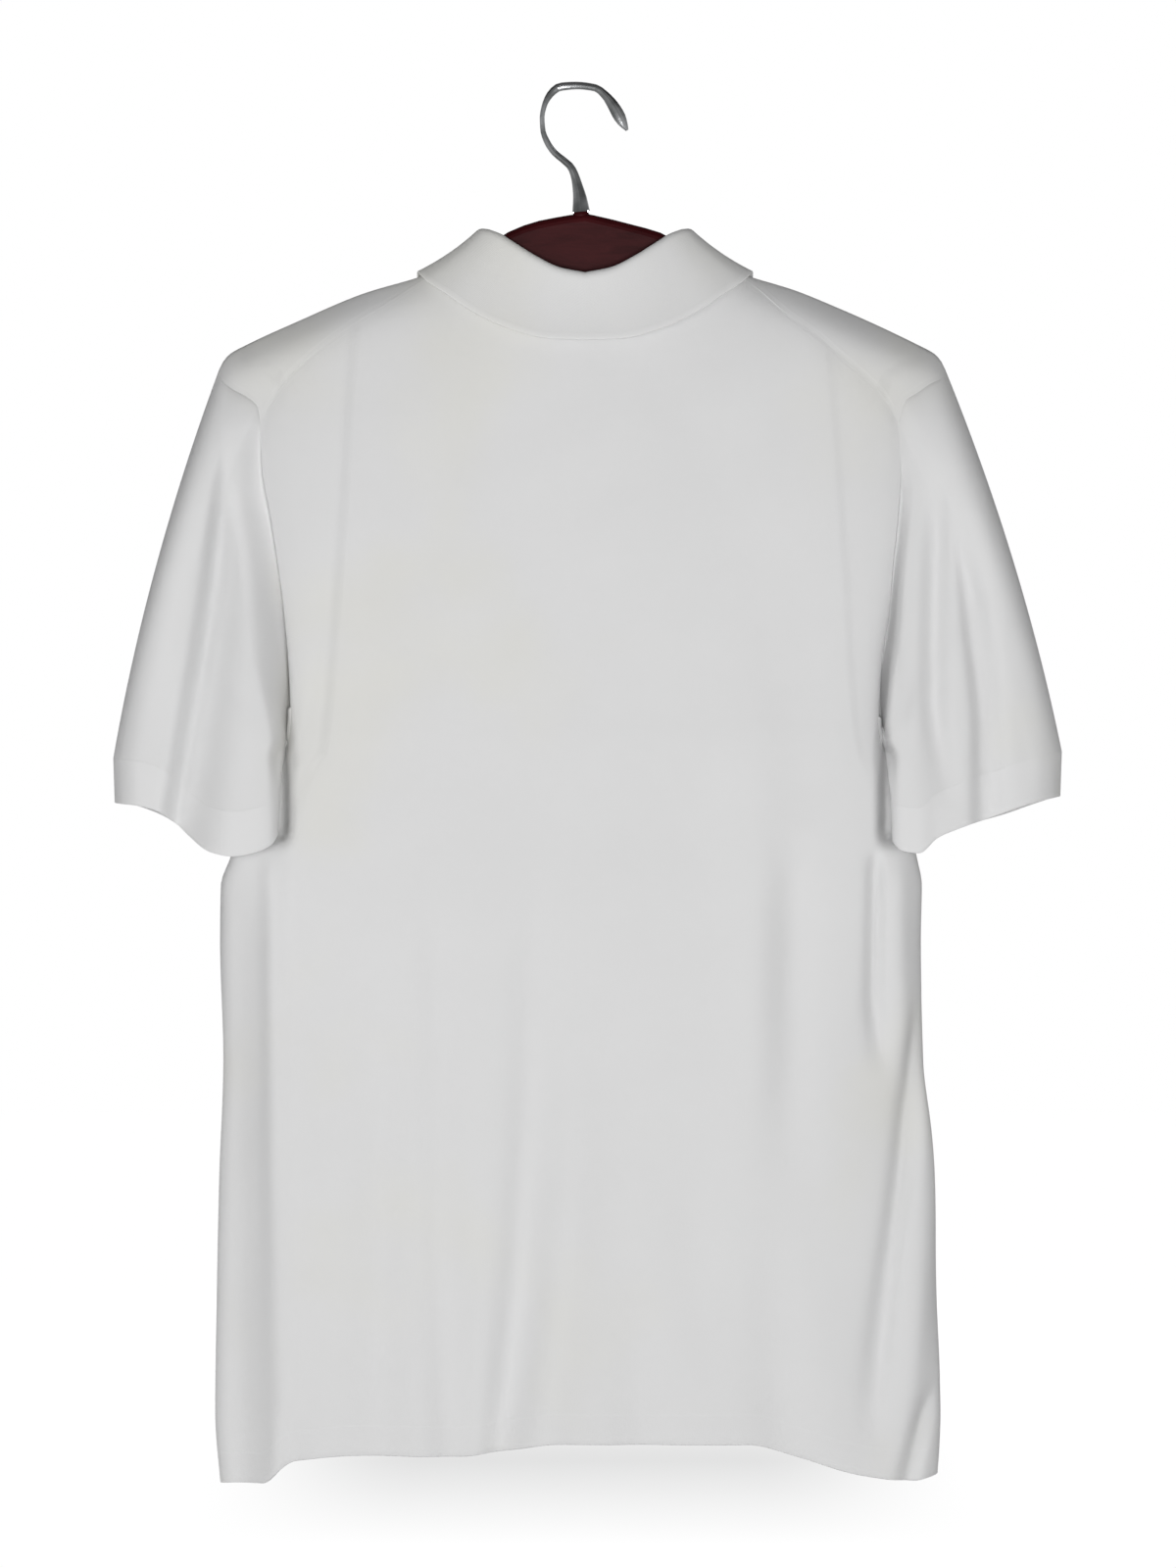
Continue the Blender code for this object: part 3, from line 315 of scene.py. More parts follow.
# Places across a panel, -1 at its left edge to 1 at its right edge.
def panelColumns(neck):
    neckPart = finer(neck[:, 0], panel["columnSteps"])
    shoulder = np.linspace(neck[-1, 0], 1, panel["shoulderColumns"] * panel["columnSteps"] + 1)
    half = np.concatenate([neckPart, shoulder[1:]])
    return np.concatenate([-half[:0:-1], half])


def bySide(columns, left, right):
    return np.where(columns < 0, -left, right)


# The first or last of some values, by the side that each column is on.
def byEnd(columns, values):
    return np.where(columns < 0, values[0], values[-1])


# 0 over the neck, rising to 1 at a panel's side.
def pastNeck(columns, neckEnd):
    return np.clip((np.abs(columns) - neckEnd) / (1 - neckEnd), 0, 1)


def acrossBody(columns, drop):
    width = bySide(columns, read(bodySections, 1, drop), read(bodySections, 2, drop))
    return np.sin(np.pi / 2 * np.abs(columns)) * width


def bodyRow(x, drop, face):
    return np.stack([x, face * halfDepth(x, drop), -drop], 1)


# Rows of the tube below the arms, from the hem up.
def hangRows(columns, face):
    hem = smooth(hemLine[:, 0], hemLine[:, 1], acrossBody(columns, hemLine[0, 1]))
    rows = []
    for part in np.linspace(0, 1, panel["hangRows"] * panel["rowSteps"] + 1):
        drop = hem + (shirt["underarmDrop"] - hem) * part
        rows.append(bodyRow(acrossBody(columns, drop), drop, face))
    return rows


# A line that follows the neck in its middle and the shoulder outside it.
def topLine(columns, neck, shoulderValues):
    side = np.abs(columns)
    neckEnd = neck[-1, 0]
    outerX, outerDrop = shoulderValues(pastNeck(columns, neckEnd), columns < 0)
    onNeck = side <= neckEnd + 1e-9
    x = np.where(onNeck, read(neck, 1, side), outerX) * np.where(columns < 0, -1, 1)
    return x, np.where(onNeck, read(neck, 2, side), outerDrop)


def seamValues(part, isLeft):
    x = np.where(isLeft, read(shoulderSeam, 1, part), read(shoulderSeam, 3, part))
    return x, np.where(isLeft, read(shoulderSeam, 2, part), read(shoulderSeam, 4, part))


def ridgeValues(part, isLeft):
    tip = np.where(isLeft, shirt["tipLeft"], shirt["tipRight"])
    x = panel["yokeSide"] + (tip - panel["yokeSide"]) * part
    return x, shoulderDrop(np.where(isLeft, -x, x))


# Rows from the underarm up to a top line, with their ends on the armhole.
def riseRows(columns, neckEnd, top, armhole, parts, face):
    low = shirt["underarmDrop"]
    topX, topDrop = top
    lowX = acrossBody(columns, low)
    weight = pastNeck(columns, neckEnd) ** 2
    endX, endDrop, lowEnd = (byEnd(columns, values) for values in (topX, topDrop, lowX))
    rows = []
    for part in parts:
        edgeDrop = low + (endDrop - low) * part
        edgeX = bySide(columns, read(armhole, 1, edgeDrop), read(armhole, 2, edgeDrop))
        pull = (edgeX - lowEnd - (endX - lowEnd) * part) * weight
        rows.append(bodyRow(lowX + (topX - lowX) * part + pull, low + (topDrop - low) * part, face))
    return rows


# Rows of the front from the shoulder line over to the seams on the back.
def overRows(columns, neckEnd, ridge, top):
    ridgeX, ridgeDrop = ridge
    topX, topDrop = top
    weight = pastNeck(columns, neckEnd) ** 2
    sign = np.where(np.abs(columns) <= neckEnd + 1e-9, 1, -1)
    ridgeOver = sign * np.sqrt(np.maximum(ridgeDrop - shoulderDrop(ridgeX), 0))
    topOver = sign * np.sqrt(np.maximum(topDrop - shoulderDrop(topX), 0))
    endX, startX, endOver = (byEnd(columns, values) for values in (topX, ridgeX, topOver))
    rows = []
    for part in np.linspace(0, 1, panel["overRows"] * panel["rowSteps"] + 1)[1:]:
        edgeX = bySide(columns, read(armholeTop, 1, part), read(armholeTop, 3, part))
        edgeDrop = np.where(columns < 0, read(armholeTop, 2, part), read(armholeTop, 4, part))
        edgeOver = -np.sqrt(np.maximum(edgeDrop - shoulderDrop(edgeX), 0))
        x = ridgeX + (topX - ridgeX) * part + (edgeX - startX - (endX - startX) * part) * weight
        over = ridgeOver + (topOver - ridgeOver) * part + (edgeOver - endOver * part) * weight
        drop = shoulderDrop(x) + over * over
        rows.append(np.stack([x, np.sign(over) * halfDepth(x, drop), -drop], 1))
    return rows


def backGrid():
    columns = panelColumns(backNeck)
    top = topLine(columns, backNeck, seamValues)
    parts = np.linspace(0, 1, panel["backRows"] * panel["rowSteps"] + 1)[1:]
    rows = hangRows(columns, -1)
    rows += riseRows(columns, backNeck[-1, 0], top, backArmhole, parts, -1)
    return np.array(rows), columns


def frontGrid():
    columns = panelColumns(frontNeck)
    neckEnd = frontNeck[-1, 0]
    ridge = topLine(columns, frontYoke, ridgeValues)
    top = topLine(columns, frontNeck, seamValues)
    parts = 1 - (1 - np.linspace(0, 1, panel["chestRows"] * panel["rowSteps"] + 1)[1:]) ** 1.5
    rows = hangRows(columns, 1)
    rows += riseRows(columns, neckEnd, ridge, frontArmhole, parts, 1)
    rows += overRows(columns, neckEnd, ridge, top)
    return np.array(rows), columns


# Unit normals at the points of a grid of rows and columns.
def gridNormals(grid, wrap, flip):
    along = np.roll(grid, -1, 1) - np.roll(grid, 1, 1) if wrap else np.gradient(grid, axis=1)
    return unit(np.cross(along, np.gradient(grid, axis=0)) * flip)


def foldDepth(piece, x, drop):
    depth = np.zeros_like(x)
    for lean, points in folds[piece]:
        line = np.array(points, float)
        inside = (drop > line[0, 0]) & (drop < line[-1, 0] + 0.01)
        across = (x - read(line, 1, drop)) / read(line, 2, drop)
        across = across / (1 - lean * np.tanh(2 * across))
        depth += inside * read(line, 3, drop) * np.exp(-(across**2))
    return depth


# Slow unevenness of the cloth, from a few crossed waves.
def unevenness(x, drop, seed):
    wave = np.zeros_like(x)
    for i, (length, turn) in enumerate(((150, 0.3), (96, 1.9), (71, 2.6), (53, 0.9), (39, 1.4))):
        run = (x * math.cos(turn) + drop * math.sin(turn) * 0.6) / length
        bend = 1.3 * np.sin(x / 61 + drop / 83 + i)
        wave += np.sin(2 * np.pi * run + seed * (i + 1) * 1.7 + bend)
    return wave * shirt["unevenness"] / 2


# The back steps in where the sleeves hang over its sides.
def stepIn(grid):
    x, y, drop = np.abs(grid[:, :, 0]), grid[:, :, 1], -grid[:, :, 2]
    (top, topRun), (end, endRun) = hollow["drops"]
    (inner, innerRun), (outer, outerRun) = hollow["sides"]
    span = ease((drop - top) / topRun) * ease((end - drop) / endRun)
    beside = ease((x - inner) / innerRun) * ease((outer - x) / outerRun)
    deepest = np.minimum(y * hollow["left"], 0)
    grid[:, :, 1] = np.minimum(y + hollow["depth"] * span * beside, deepest)
    return grid


def foldPanel(grid, name, columns, flip, seed):
    x, drop = grid[:, :, 0], -grid[:, :, 2]
    depth = foldDepth(name, x, drop) + unevenness(x, drop, seed)
    depth *= 1 - np.abs(columns) ** shirt["still"]
    return grid - gridNormals(grid, False, flip) * depth[:, :, None]


# Armhole points from the shoulder line down the back, and up the front.
def armholeRing(back, front, column):
    low = panel["hangRows"] * panel["rowSteps"]
    ridge = low + panel["chestRows"] * panel["rowSteps"]
    over = front[ridge:, column]
    down = back[-2 : low - 1 : -1, column]
    return np.concatenate([over, down, front[low + 1 : ridge, column]]), len(over) + len(down) - 1


# Place of each ring point by length, 0 at its start and 0.5 under the arm.
def ringParts(ring, underArm):
    runs = np.linalg.norm(np.roll(ring, -1, 0) - ring, axis=1)
    length = np.concatenate([[0], np.cumsum(runs)])
    half = length[underArm]
    front = 0.5 + 0.5 * (length - half) / (length[-1] - half)
    return np.where(length <= half, 0.5 * length / half, front)[:-1]


def cuffRing(table, sign, parts):
    points = np.stack([sign * table[:, 0], table[:, 1], -table[:, 2]], 1)
    keys = ringParts(points, int(np.argmax(table[:, 3])))
    keys = np.concatenate([keys[-2:] - 1, keys, keys[:3] + 1])
    points = np.vstack([points[-2:], points, points[:3]])
    return np.stack([smooth(keys, points[:, i], parts) for i in range(3)], 1)


# Grids of a sleeve and of its cuff, round from the shoulder by the back.
def sleeveGrids(side, armhole, underArm):
    sign = 1 if side == "right" else -1
    parts = ringParts(armhole, underArm)
    edge = cuffRing(cuffEdges[side], sign, parts)
    joint = edge + (edge - edge.mean(0)) * sleeve["joint"] + (0, 0, sleeve["cuffDepth"])
    outward = unit((joint - joint.mean(0)) * (1, 1, 0))
    outer = 0.5 + 0.5 * np.cos(2 * np.pi * parts)[:, None]
    count = sleeve["rows"] * sleeve["rowSteps"]
    parting = np.linspace(0, 1, count + 1) ** sleeve["closer"]
    rows = []
    for part in parting:
        swell = 4 * part * (1 - part) * sleeve["swell"] * outer * outward
        rows.append(armhole + (joint - armhole) * part + swell)
    for part in np.linspace(0, 1, sleeve["cuffRows"] + 1)[1:]:
        rows.append(joint + (edge - joint) * part)
    grid = np.array(rows)
    x, drop = grid[:, :, 0], -grid[:, :, 2]
    turn = np.sin(2 * np.pi * parts)
    back = np.clip(turn * sleeve["sides"], 0, 1)
    front = np.clip(-turn * sleeve["sides"], 0, 1)
    runs = np.concatenate([parting * sleeve["share"], np.full(sleeve["cuffRows"], sleeve["share"])])
    away = ease(runs * sleeve["foldStart"])[:, None]
    rough = unevenness(x, drop, 5) * away
    puff = sleeve["puff"] * np.sin(np.pi * np.minimum(runs / sleeve["share"], 1) ** 0.7)[:, None]
    aside = np.where(parts > 0.5, parts - 1, parts) / sleeve["puffWidth"]
    grid[:, :, 1] -= puff * aside * np.exp(0.5 - aside**2 / 2)
    run = gridRuns(grid, True)[1][:, :-1] / mm
    beside = np.abs(x) - read(backArmhole, 2 if side == "right" else 1, drop)
    sunk = read(tucks[side], 2, drop) * (1 - ease(beside / read(tucks[side], 1, drop)))
    sunk *= ease(turn / sleeve["sinkSide"])
    grid[:, :, 1] += sunk * (1 - np.exp(-run / sleeve["sinkRun"]))
    grid[:, :, 1] += (foldDepth(side + " sleeve back", x, drop) * away + rough) * back
    grid[:, :, 1] -= (foldDepth(side + " sleeve front", x, drop) * away + rough) * front
    return grid[: count + 1], grid[count:]


def edgePlaces(grid, wrap):
    rows, columns = grid.shape[:2]
    inward = {}
    for j in range(columns):
        inward.setdefault((0, j), []).append((1, j))
        inward.setdefault((rows - 1, j), []).append((rows - 2, j))
    if not wrap:
        for i in range(rows):
            inward.setdefault((i, 0), []).append((i, 1))
            inward.setdefault((i, columns - 1), []).append((i, columns - 2))
    return inward


def pointKey(point):
    return tuple(int(round(value * 1000)) for value in point)


# Sum of the normals, and the number of pieces, at each point on a piece's edge.
def seamNormals(pieces):
    met = {}
    for grid, wrap, flip in pieces.values():
        normal = gridNormals(grid, wrap, flip)
        for place in edgePlaces(grid, wrap):
            total, count = met.get(pointKey(grid[place]), (np.zeros(3), 0))
            met[pointKey(grid[place])] = (total + normal[place], count + 1)
    return met


# Outer and inner side of a piece, drawn back from the seams it shares.
def clothSides(grid, wrap, flip, met):
    normal = gridNormals(grid, wrap, flip)
    outer = grid.copy()
    inner = grid - shirt["wall"] * normal
    for place, ways in edgePlaces(grid, wrap).items():
        total, count = met[pointKey(grid[place])]
        if count > 1:
            size = np.linalg.norm(total)
            agree = max(size / count, 0.45)
            inner[place] = grid[place] - shirt["wall"] / max(agree, 0.7) * total / size
            for way in ways:
                inward = grid[way] - grid[place]
                shift = shirt["seamGap"] / 2 / agree * inward / np.linalg.norm(inward)
                outer[place] += shift
                inner[place] += shift
    return outer, inner


# Length in metres along the rows and up the columns of a grid.
def gridRuns(grid, wrap):
    closed = np.concatenate([grid, grid[:, :1]], 1) if wrap else grid
    across = np.linalg.norm(np.diff(closed, axis=1), axis=2)
    across = np.concatenate([np.zeros((len(grid), 1)), np.cumsum(across, 1)], 1)
    up = np.linalg.norm(np.diff(closed, axis=0), axis=2)
    up = np.concatenate([np.zeros((1, closed.shape[1])), np.cumsum(up, 0)], 0)
    return across * mm, up * mm


# Two maps for the materials, in metres. The first runs along the knitted rows and
# columns, the second holds the distance to the nearest seam and to the open edge.
def clothMaps(grid, wrap, openRow, underArm=None):
    across, up = gridRuns(grid, wrap)
    if wrap:  # the seam under the arm
        seam = np.abs(across - across[:, underArm : underArm + 1])
    else:
        seam = np.minimum(up[-1] - up, np.minimum(across, across[:, -1:] - across))
    edge = np.ones(across.shape) if openRow is None else np.abs(up - up[openRow])
    middle = across.shape[1] // 2
    return (across - across[:, middle : middle + 1], up), (seam, edge)


def addObject(name, data):
    item = bpy.data.objects.new(name, data)
    bpy.context.scene.collection.objects.link(item)
    return item


def addPiece(name, data, material):
    data.materials.append(material)
    return addObject(name, data)


# A closed thin wall over a grid, its open edges rounded. A rim bulges by a share of the
# wall, in steps of how far across it they lie and how much of the bulge they take.
rim = {"open": 0.3, "sewn": 0.02, "steps": ((0.18, 0.75), (0.5, 1), (0.82, 0.75))}


def wallMesh(name, outer, inner, wrap, flip, maps, openSides, material):
    rows, columns = outer.shape[:2]
    count = rows * columns
    last = columns if wrap else columns - 1
    points = [outer.reshape(-1, 3), inner.reshape(-1, 3)]
    i, j = np.meshgrid(np.arange(rows - 1), np.arange(last), indexing="ij")
    i, j = i.ravel(), j.ravel()
    cornerI = np.stack([i, i, i + 1, i + 1], 1)
    cornerJ = np.stack([j, j + 1, j + 1, j], 1)
    face = cornerI * columns + cornerJ % columns
    faces = [face, face[:, ::-1] + count]
    seamed = [np.zeros(2 * len(face), bool)]
    places = [(cornerI, cornerJ), (cornerI[:, ::-1], cornerJ[:, ::-1])]
    total = 2 * count
    whole = np.arange(columns)
    rims = [("start", np.zeros(columns, int), whole, (1, 0), False),
            ("end", np.full(columns, rows - 1), whole, (-1, 0), True)]
    if not wrap:
        rims += [("left", np.arange(rows), np.zeros(rows, int), (0, 1), True),
                 ("right", np.arange(rows), np.full(rows, columns - 1), (0, -1), False)]
    corners = {}
    for side, lineI, lineJ, way, forward in rims:
        top, low = outer[lineI, lineJ], inner[lineI, lineJ]
        out = unit(top - outer[lineI + way[0], lineJ + way[1]])
        bulge = np.linalg.norm(low - top, axis=1, keepdims=True)
        bulge *= rim["open" if side in openSides else "sewn"]
        ring = [lineI * columns + lineJ]
        for part, push in rim["steps"]:
            line = top + (low - top) * part + out * bulge * push
            index = np.arange(len(line)) + total
            for end in (() if wrap else (0, -1)):  # neighbouring rims share their corners
                key = (int(lineI[end]), int(lineJ[end]), part)
                index[end] = corners.setdefault(key, index[end])
            points.append(line)
            total += len(line)
            ring.append(index)
        ring.append(ring[0] + count)
        for upper, lower in zip(ring, ring[1:]):
            a, b = (upper, lower) if forward else (lower, upper)
            nextA, nextB = np.roll(a, -1), np.roll(b, -1)
            band = np.stack([a, nextA, nextB, b], 1)
            bandI = np.stack([lineI, np.roll(lineI, -1), np.roll(lineI, -1), lineI], 1)
            nextJ = lineJ + 1 if wrap else np.roll(lineJ, -1)
            bandJ = np.stack([lineJ, nextJ, nextJ, lineJ], 1)
            if not wrap:
                band, bandI, bandJ = band[:-1], bandI[:-1], bandJ[:-1]
            faces.append(band)
            seamed.append(np.full(len(band), side not in openSides))
            places.append((bandI, bandJ))
    faces = np.concatenate(faces)
    seamed = np.concatenate(seamed)
    placeI = np.concatenate([place[0] for place in places])
    placeJ = np.concatenate([place[1] for place in places])
    if flip < 0:
        faces, placeI, placeJ = faces[:, ::-1], placeI[:, ::-1], placeJ[:, ::-1]
    mesh = bpy.data.meshes.new(name)
    mesh.from_pydata(np.concatenate(points) * mm, [], faces.tolist())
    for mapName, (u, v) in zip(("knitMap", "seamMap"), maps):
        layer = mesh.uv_layers.new(name=mapName)
        values = np.stack([u[placeI, placeJ], v[placeI, placeJ]], 2).reshape(-1)
        layer.data.foreach_set("uv", values)
    cleaned = bmesh.new()
    cleaned.from_mesh(mesh)
    for line in cleaned.edges:  # a sewn edge shades like one cloth with its neighbour
        line.smooth = len({seamed[side.index] for side in line.link_faces}) == 1
    loose = [vertex for vertex in cleaned.verts if not vertex.link_faces]
    bmesh.ops.delete(cleaned, geom=loose, context="VERTS")
    cleaned.to_mesh(mesh)
    cleaned.free()
    mesh.shade_smooth()
    return addPiece(name, mesh, material)


# Neck edge of the panels, from the front opening round the back to it again.
def neckLoop(sides):
    (backOuter, backInner), (frontOuter, frontInner) = sides["backPanel"], sides["frontPanel"]
    backMiddle, frontMiddle = backOuter.shape[1] // 2, frontOuter.shape[1] // 2
    backCount = (len(backNeck) - 1) * panel["columnSteps"]
    frontCount = (len(frontNeck) - 1) * panel["columnSteps"]
    outer = np.concatenate([backOuter[-1, backMiddle : backMiddle + backCount],
                            frontOuter[-1, frontMiddle : frontMiddle + frontCount + 1][::-1]])
    inner = np.concatenate([backInner[-1, backMiddle : backMiddle + backCount],
                            frontInner[-1, frontMiddle : frontMiddle + frontCount + 1][::-1]])
    parts = np.concatenate([0.5 * np.arange(backCount) / backCount,
                            1 - 0.5 * np.arange(frontCount, -1, -1) / frontCount])
    for half in (outer, inner):
        near = np.searchsorted(-half[-20:, 0], -collar["opening"]) + len(half) - 20
        half[near:, 0] = np.linspace(half[near - 1, 0], collar["opening"], len(half) - near + 1)[1:]
    mirror = np.array([-1, 1, 1])
    return (np.concatenate([outer[:0:-1] * mirror, outer]),
            np.concatenate([inner[:0:-1] * mirror, inner]),
            np.concatenate([-parts[:0:-1], parts]))


def collarLine(table, parts):
    side, y, drop = (read(table, i, np.abs(parts)) for i in (1, 2, 3))
    return np.stack([side * np.where(parts < 0, -1, 1), y, -drop], 1)


# Face and reverse of the collar: up the stand, over the roll and down the fall.
def collarSides(sides):
    neckOuter, neckInner, parts = neckLoop(sides)
    fold, edge = collarLine(collarFold, parts), collarLine(collarEdge, parts)
    roll = collar["roll"]
    stand, fall = unit(fold - neckInner), unit(edge - fold)
    away = unit(fall - stand * np.sum(fall * stand, 1, keepdims=True))
    middle = fold - stand * roll
    start = neckInner + stand * shirt["seamGap"]
    standTop = middle - away * roll
    standParts = np.linspace(0, 1, collar["standRows"])[:-1]
    rows = [start + (standTop - start) * part for part in standParts]
    for angle in np.linspace(0, np.pi, collar["rollRows"]):
        rows.append(middle - away * roll * np.cos(angle) + stand * roll * np.sin(angle))
    fallTop = rows[-1]
    outward = unit(np.cross(np.gradient(edge, axis=0), edge - fallTop))
    soft = unevenness(edge[:, 0] * 1.6, parts * 220, 9)[:, None]
    for part in np.linspace(0, 1, collar["fallRows"])[1:]:
        swell = 4 * part * (1 - part) * collar["swell"] + 0.5 * soft * part
        rows.append(fallTop + (edge - fallTop) * part + outward * swell)
    face = np.array(rows)
    reverse = face - shirt["wall"] * gridNormals(face, False, 1)
    reverse[0] = neckOuter + stand * shirt["seamGap"]
    return face, reverse


# The strip over the front opening, raised from the front's own points.
def placketSides(frontOuter):
    middle = frontOuter.shape[1] // 2
    rows = placket["rows"] * panel["rowSteps"]
    columns = panel["columnSteps"]
    base = frontOuter[-1 - rows :, middle - columns : middle + columns + 1]
    normal = gridNormals(base, False, -1)
    return base + (shirt["seamGap"] + placket["wall"]) * normal, base + shirt["seamGap"] * normal


def addShape(name, shape, material):
    mesh = bpy.data.meshes.new(name)
    shape.to_mesh(mesh)
    shape.free()
    return addPiece(name, mesh, material)


# Closed body of rings of points, with both ends filled.
def ringShape(rings):
    shape = bmesh.new()
    loops = [[shape.verts.new(point) for point in ring] for ring in rings]
    for low, high in zip(loops, loops[1:]):
        for i in range(len(low)):
            j = (i + 1) % len(low)
            shape.faces.new((low[i], low[j], high[j], high[i]))
    shape.faces.new(loops[0][::-1])
    shape.faces.new(loops[-1])
    return shape


# A ring of points, its radius given along x and y.
def circle(radiusX, radiusY, height, count):
    angles = np.arange(count) * 2 * np.pi / count
    return [(radiusX * math.cos(a), radiusY * math.sin(a), height) for a in angles]


# A turned button: dished face, rounded rim and four drilled holes.
def addButton(name, material):
    radius, height = button["radius"] * mm, button["height"] * mm
    rings = [circle(radius * part, radius * part, height * rise, 48)
             for part, rise in button["outline"]]
    body = addShape(name, ringShape(rings), material)
    drill = bmesh.new()
    bore, spread = button["holeRadius"] * mm, button["holeSpread"] * mm
    for turn in range(4):
        angle = math.pi / 4 + turn * math.pi / 2
        hole = bmesh.ops.create_cone(drill, cap_ends=True, segments=20, radius1=bore,
                                     radius2=bore, depth=3 * height)
        away = (spread * math.cos(angle), spread * math.sin(angle), 0)
        bmesh.ops.translate(drill, verts=hole["verts"], vec=away)
    tool = addShape(name + "Drill", drill, material)
    cut = body.modifiers.new("holes", "BOOLEAN")
    cut.operation = "DIFFERENCE"
    cut.object = tool
    graph = bpy.context.evaluated_depsgraph_get()
    mesh = bpy.data.meshes.new_from_object(body.evaluated_get(graph))
    body.modifiers.clear()
    body.data = mesh
    bpy.data.objects.remove(tool, do_unlink=True)
    body.data.shade_smooth()
    body.data.set_sharp_from_angle(angle=math.radians(38))
    return body


# A round thread along a path of points.
def addThread(name, paths, radius, material, closed=False):
    curve = bpy.data.curves.new(name, "CURVE")
    curve.dimensions = "3D"
    curve.bevel_depth = radius * mm
    curve.bevel_resolution = 2
    curve.use_fill_caps = True
    for path in paths:
        spline = curve.splines.new("POLY")
        spline.points.add(len(path) - 1)
        for point, place in zip(spline.points, path):
            point.co = (*(np.array(place) * mm), 1)
        spline.use_cyclic_u = closed
    return addPiece(name, curve, material)


def newGroup(name, inputs, outputs):
    group = bpy.data.node_groups.new(name, "ShaderNodeTree")
    for way, sockets in (("INPUT", inputs), ("OUTPUT", outputs)):
        for label, kind in sockets.items():
            group.interface.new_socket(name=label, in_out=way, socket_type="NodeSocket" + kind)
    given = group.nodes.new("NodeGroupInput").outputs
    return group, given, group.nodes.new("NodeGroupOutput").inputs


# Each input of a node is set to a value or linked to a socket.
def setInputs(tree, node, inputs):
    for key, value in inputs.items():
        if isinstance(value, bpy.types.NodeSocket):
            tree.links.new(value, node.inputs[key])
        else:
            node.inputs[key].default_value = value


def addNode(tree, kind, inputs, settings={}):
    node = tree.nodes.new("ShaderNode" + kind)
    for key, value in settings.items():
        setattr(node, key, value)
    setInputs(tree, node, inputs)
    return node


def calc(tree, operation, a, b=0.0, c=0.0):
    return addNode(tree, "Math", {0: a, 1: b, 2: c}, {"operation": operation}).outputs[0]


def scale(tree, value, low, high, first=0.0, last=1.0, kind="LINEAR"):
    inputs = {0: value, 1: low, 2: high, 3: first, 4: last}
    return addNode(tree, "MapRange", inputs, {"interpolation_type": kind}).outputs[0]


def noise(tree, place, size, detail, **more):
    inputs = {"Vector": place, "Scale": size, "Detail": detail, **more}
    return addNode(tree, "TexNoise", inputs).outputs[0]


def objectPlace(tree):
    return addNode(tree, "TexCoord", {}).outputs["Object"]


# Height of knitted stitches, two slanted legs in each wale, and painted shade in their valleys.
def makeKnitGroup():
    inputs = {"Map": "Vector", "Wale": "Float", "Course": "Float"}
    outputs = {"Height": "Float", "Valley Shade": "Float"}
    group, given, wanted = newGroup("knit stitches", inputs, outputs)
    split = addNode(group, "SeparateXYZ", {0: given["Map"]})
    across = calc(group, "DIVIDE", split.outputs[0], given["Wale"])
    up = calc(group, "DIVIDE", split.outputs[1], given["Course"])
    leg = calc(group, "PINGPONG", across, 0.5)
    legShape = calc(group, "SINE", calc(group, "MULTIPLY", leg, 2 * math.pi))
    slant = calc(group, "ADD", up, leg)
    stitch = calc(group, "SINE", calc(group, "MULTIPLY", slant, 2 * math.pi))
    rounded = calc(group, "MULTIPLY_ADD", stitch, 0.3, 0.7)
    height = calc(group, "MULTIPLY", legShape, rounded)
    group.links.new(height, wanted["Height"])
    group.links.new(calc(group, "SUBTRACT", 1.0, height), wanted["Valley Shade"])
    return group


# Height of the seams: a raised joint with a stitched row beside it, and the stitched
# line above an open edge. Widths are in metres.
seamLines = {"joint": 0.0011, "jointShare": 0.9, "row": 0.0007}


def makeSeamGroup():
    inputs = {"Map": "Vector", "Row": "Float", "Hem": "Float"}
    group, given, wanted = newGroup("sewn lines", inputs, {"Height": "Float"})
    split = addNode(group, "SeparateXYZ", {0: given["Map"]})

    def line(distance, place, width):
        away = calc(group, "DIVIDE", calc(group, "SUBTRACT", distance, place), width)
        square = calc(group, "MULTIPLY", away, away)
        return calc(group, "EXPONENT", calc(group, "MULTIPLY", square, -1.0))

    joint = line(split.outputs[0], 0.0, seamLines["joint"])
    row = line(split.outputs[0], given["Row"], seamLines["row"])
    hem = line(split.outputs[1], given["Hem"], seamLines["row"])
    rows = calc(group, "ADD", row, hem)
    total = calc(group, "MULTIPLY_ADD", joint, seamLines["jointShare"], rows)
    group.links.new(total, wanted["Height"])
    return group


def newMaterial(name):
    material = bpy.data.materials.new(name)
    material.use_nodes = True
    return material, material.node_tree, material.node_tree.nodes["Principled BSDF"]


# Colours a and b are sockets, or tuples of three.
def mixColour(tree, factor, a, b, mode="MIX"):
    settings = {"data_type": "RGBA", "blend_type": mode}
    a, b = ((*side, 1) if isinstance(side, tuple) else side for side in (a, b))
    return addNode(tree, "Mix", {0: factor, 6: a, 7: b}, settings).outputs[2]


def addBump(tree, height, strength):
    inputs = {"Height": height, "Distance": 1.0, "Strength": strength}
    return addNode(tree, "Bump", inputs).outputs[0]


# The knit's lengths are in metres.
cloth = {
    "colour": (0.81, 0.81, 0.812), "shade": (0.71, 0.71, 0.708), "yellowed": (1.0, 0.995, 0.955),
    "roughness": 0.9, "sheen": 0.25, "wale": 0.0008, "course": 0.00065, "stitchHeight": 0.00012,
    "seamHeight": 0.00007, "seamRow": 0.0036, "hemLine": 0.0175,
}


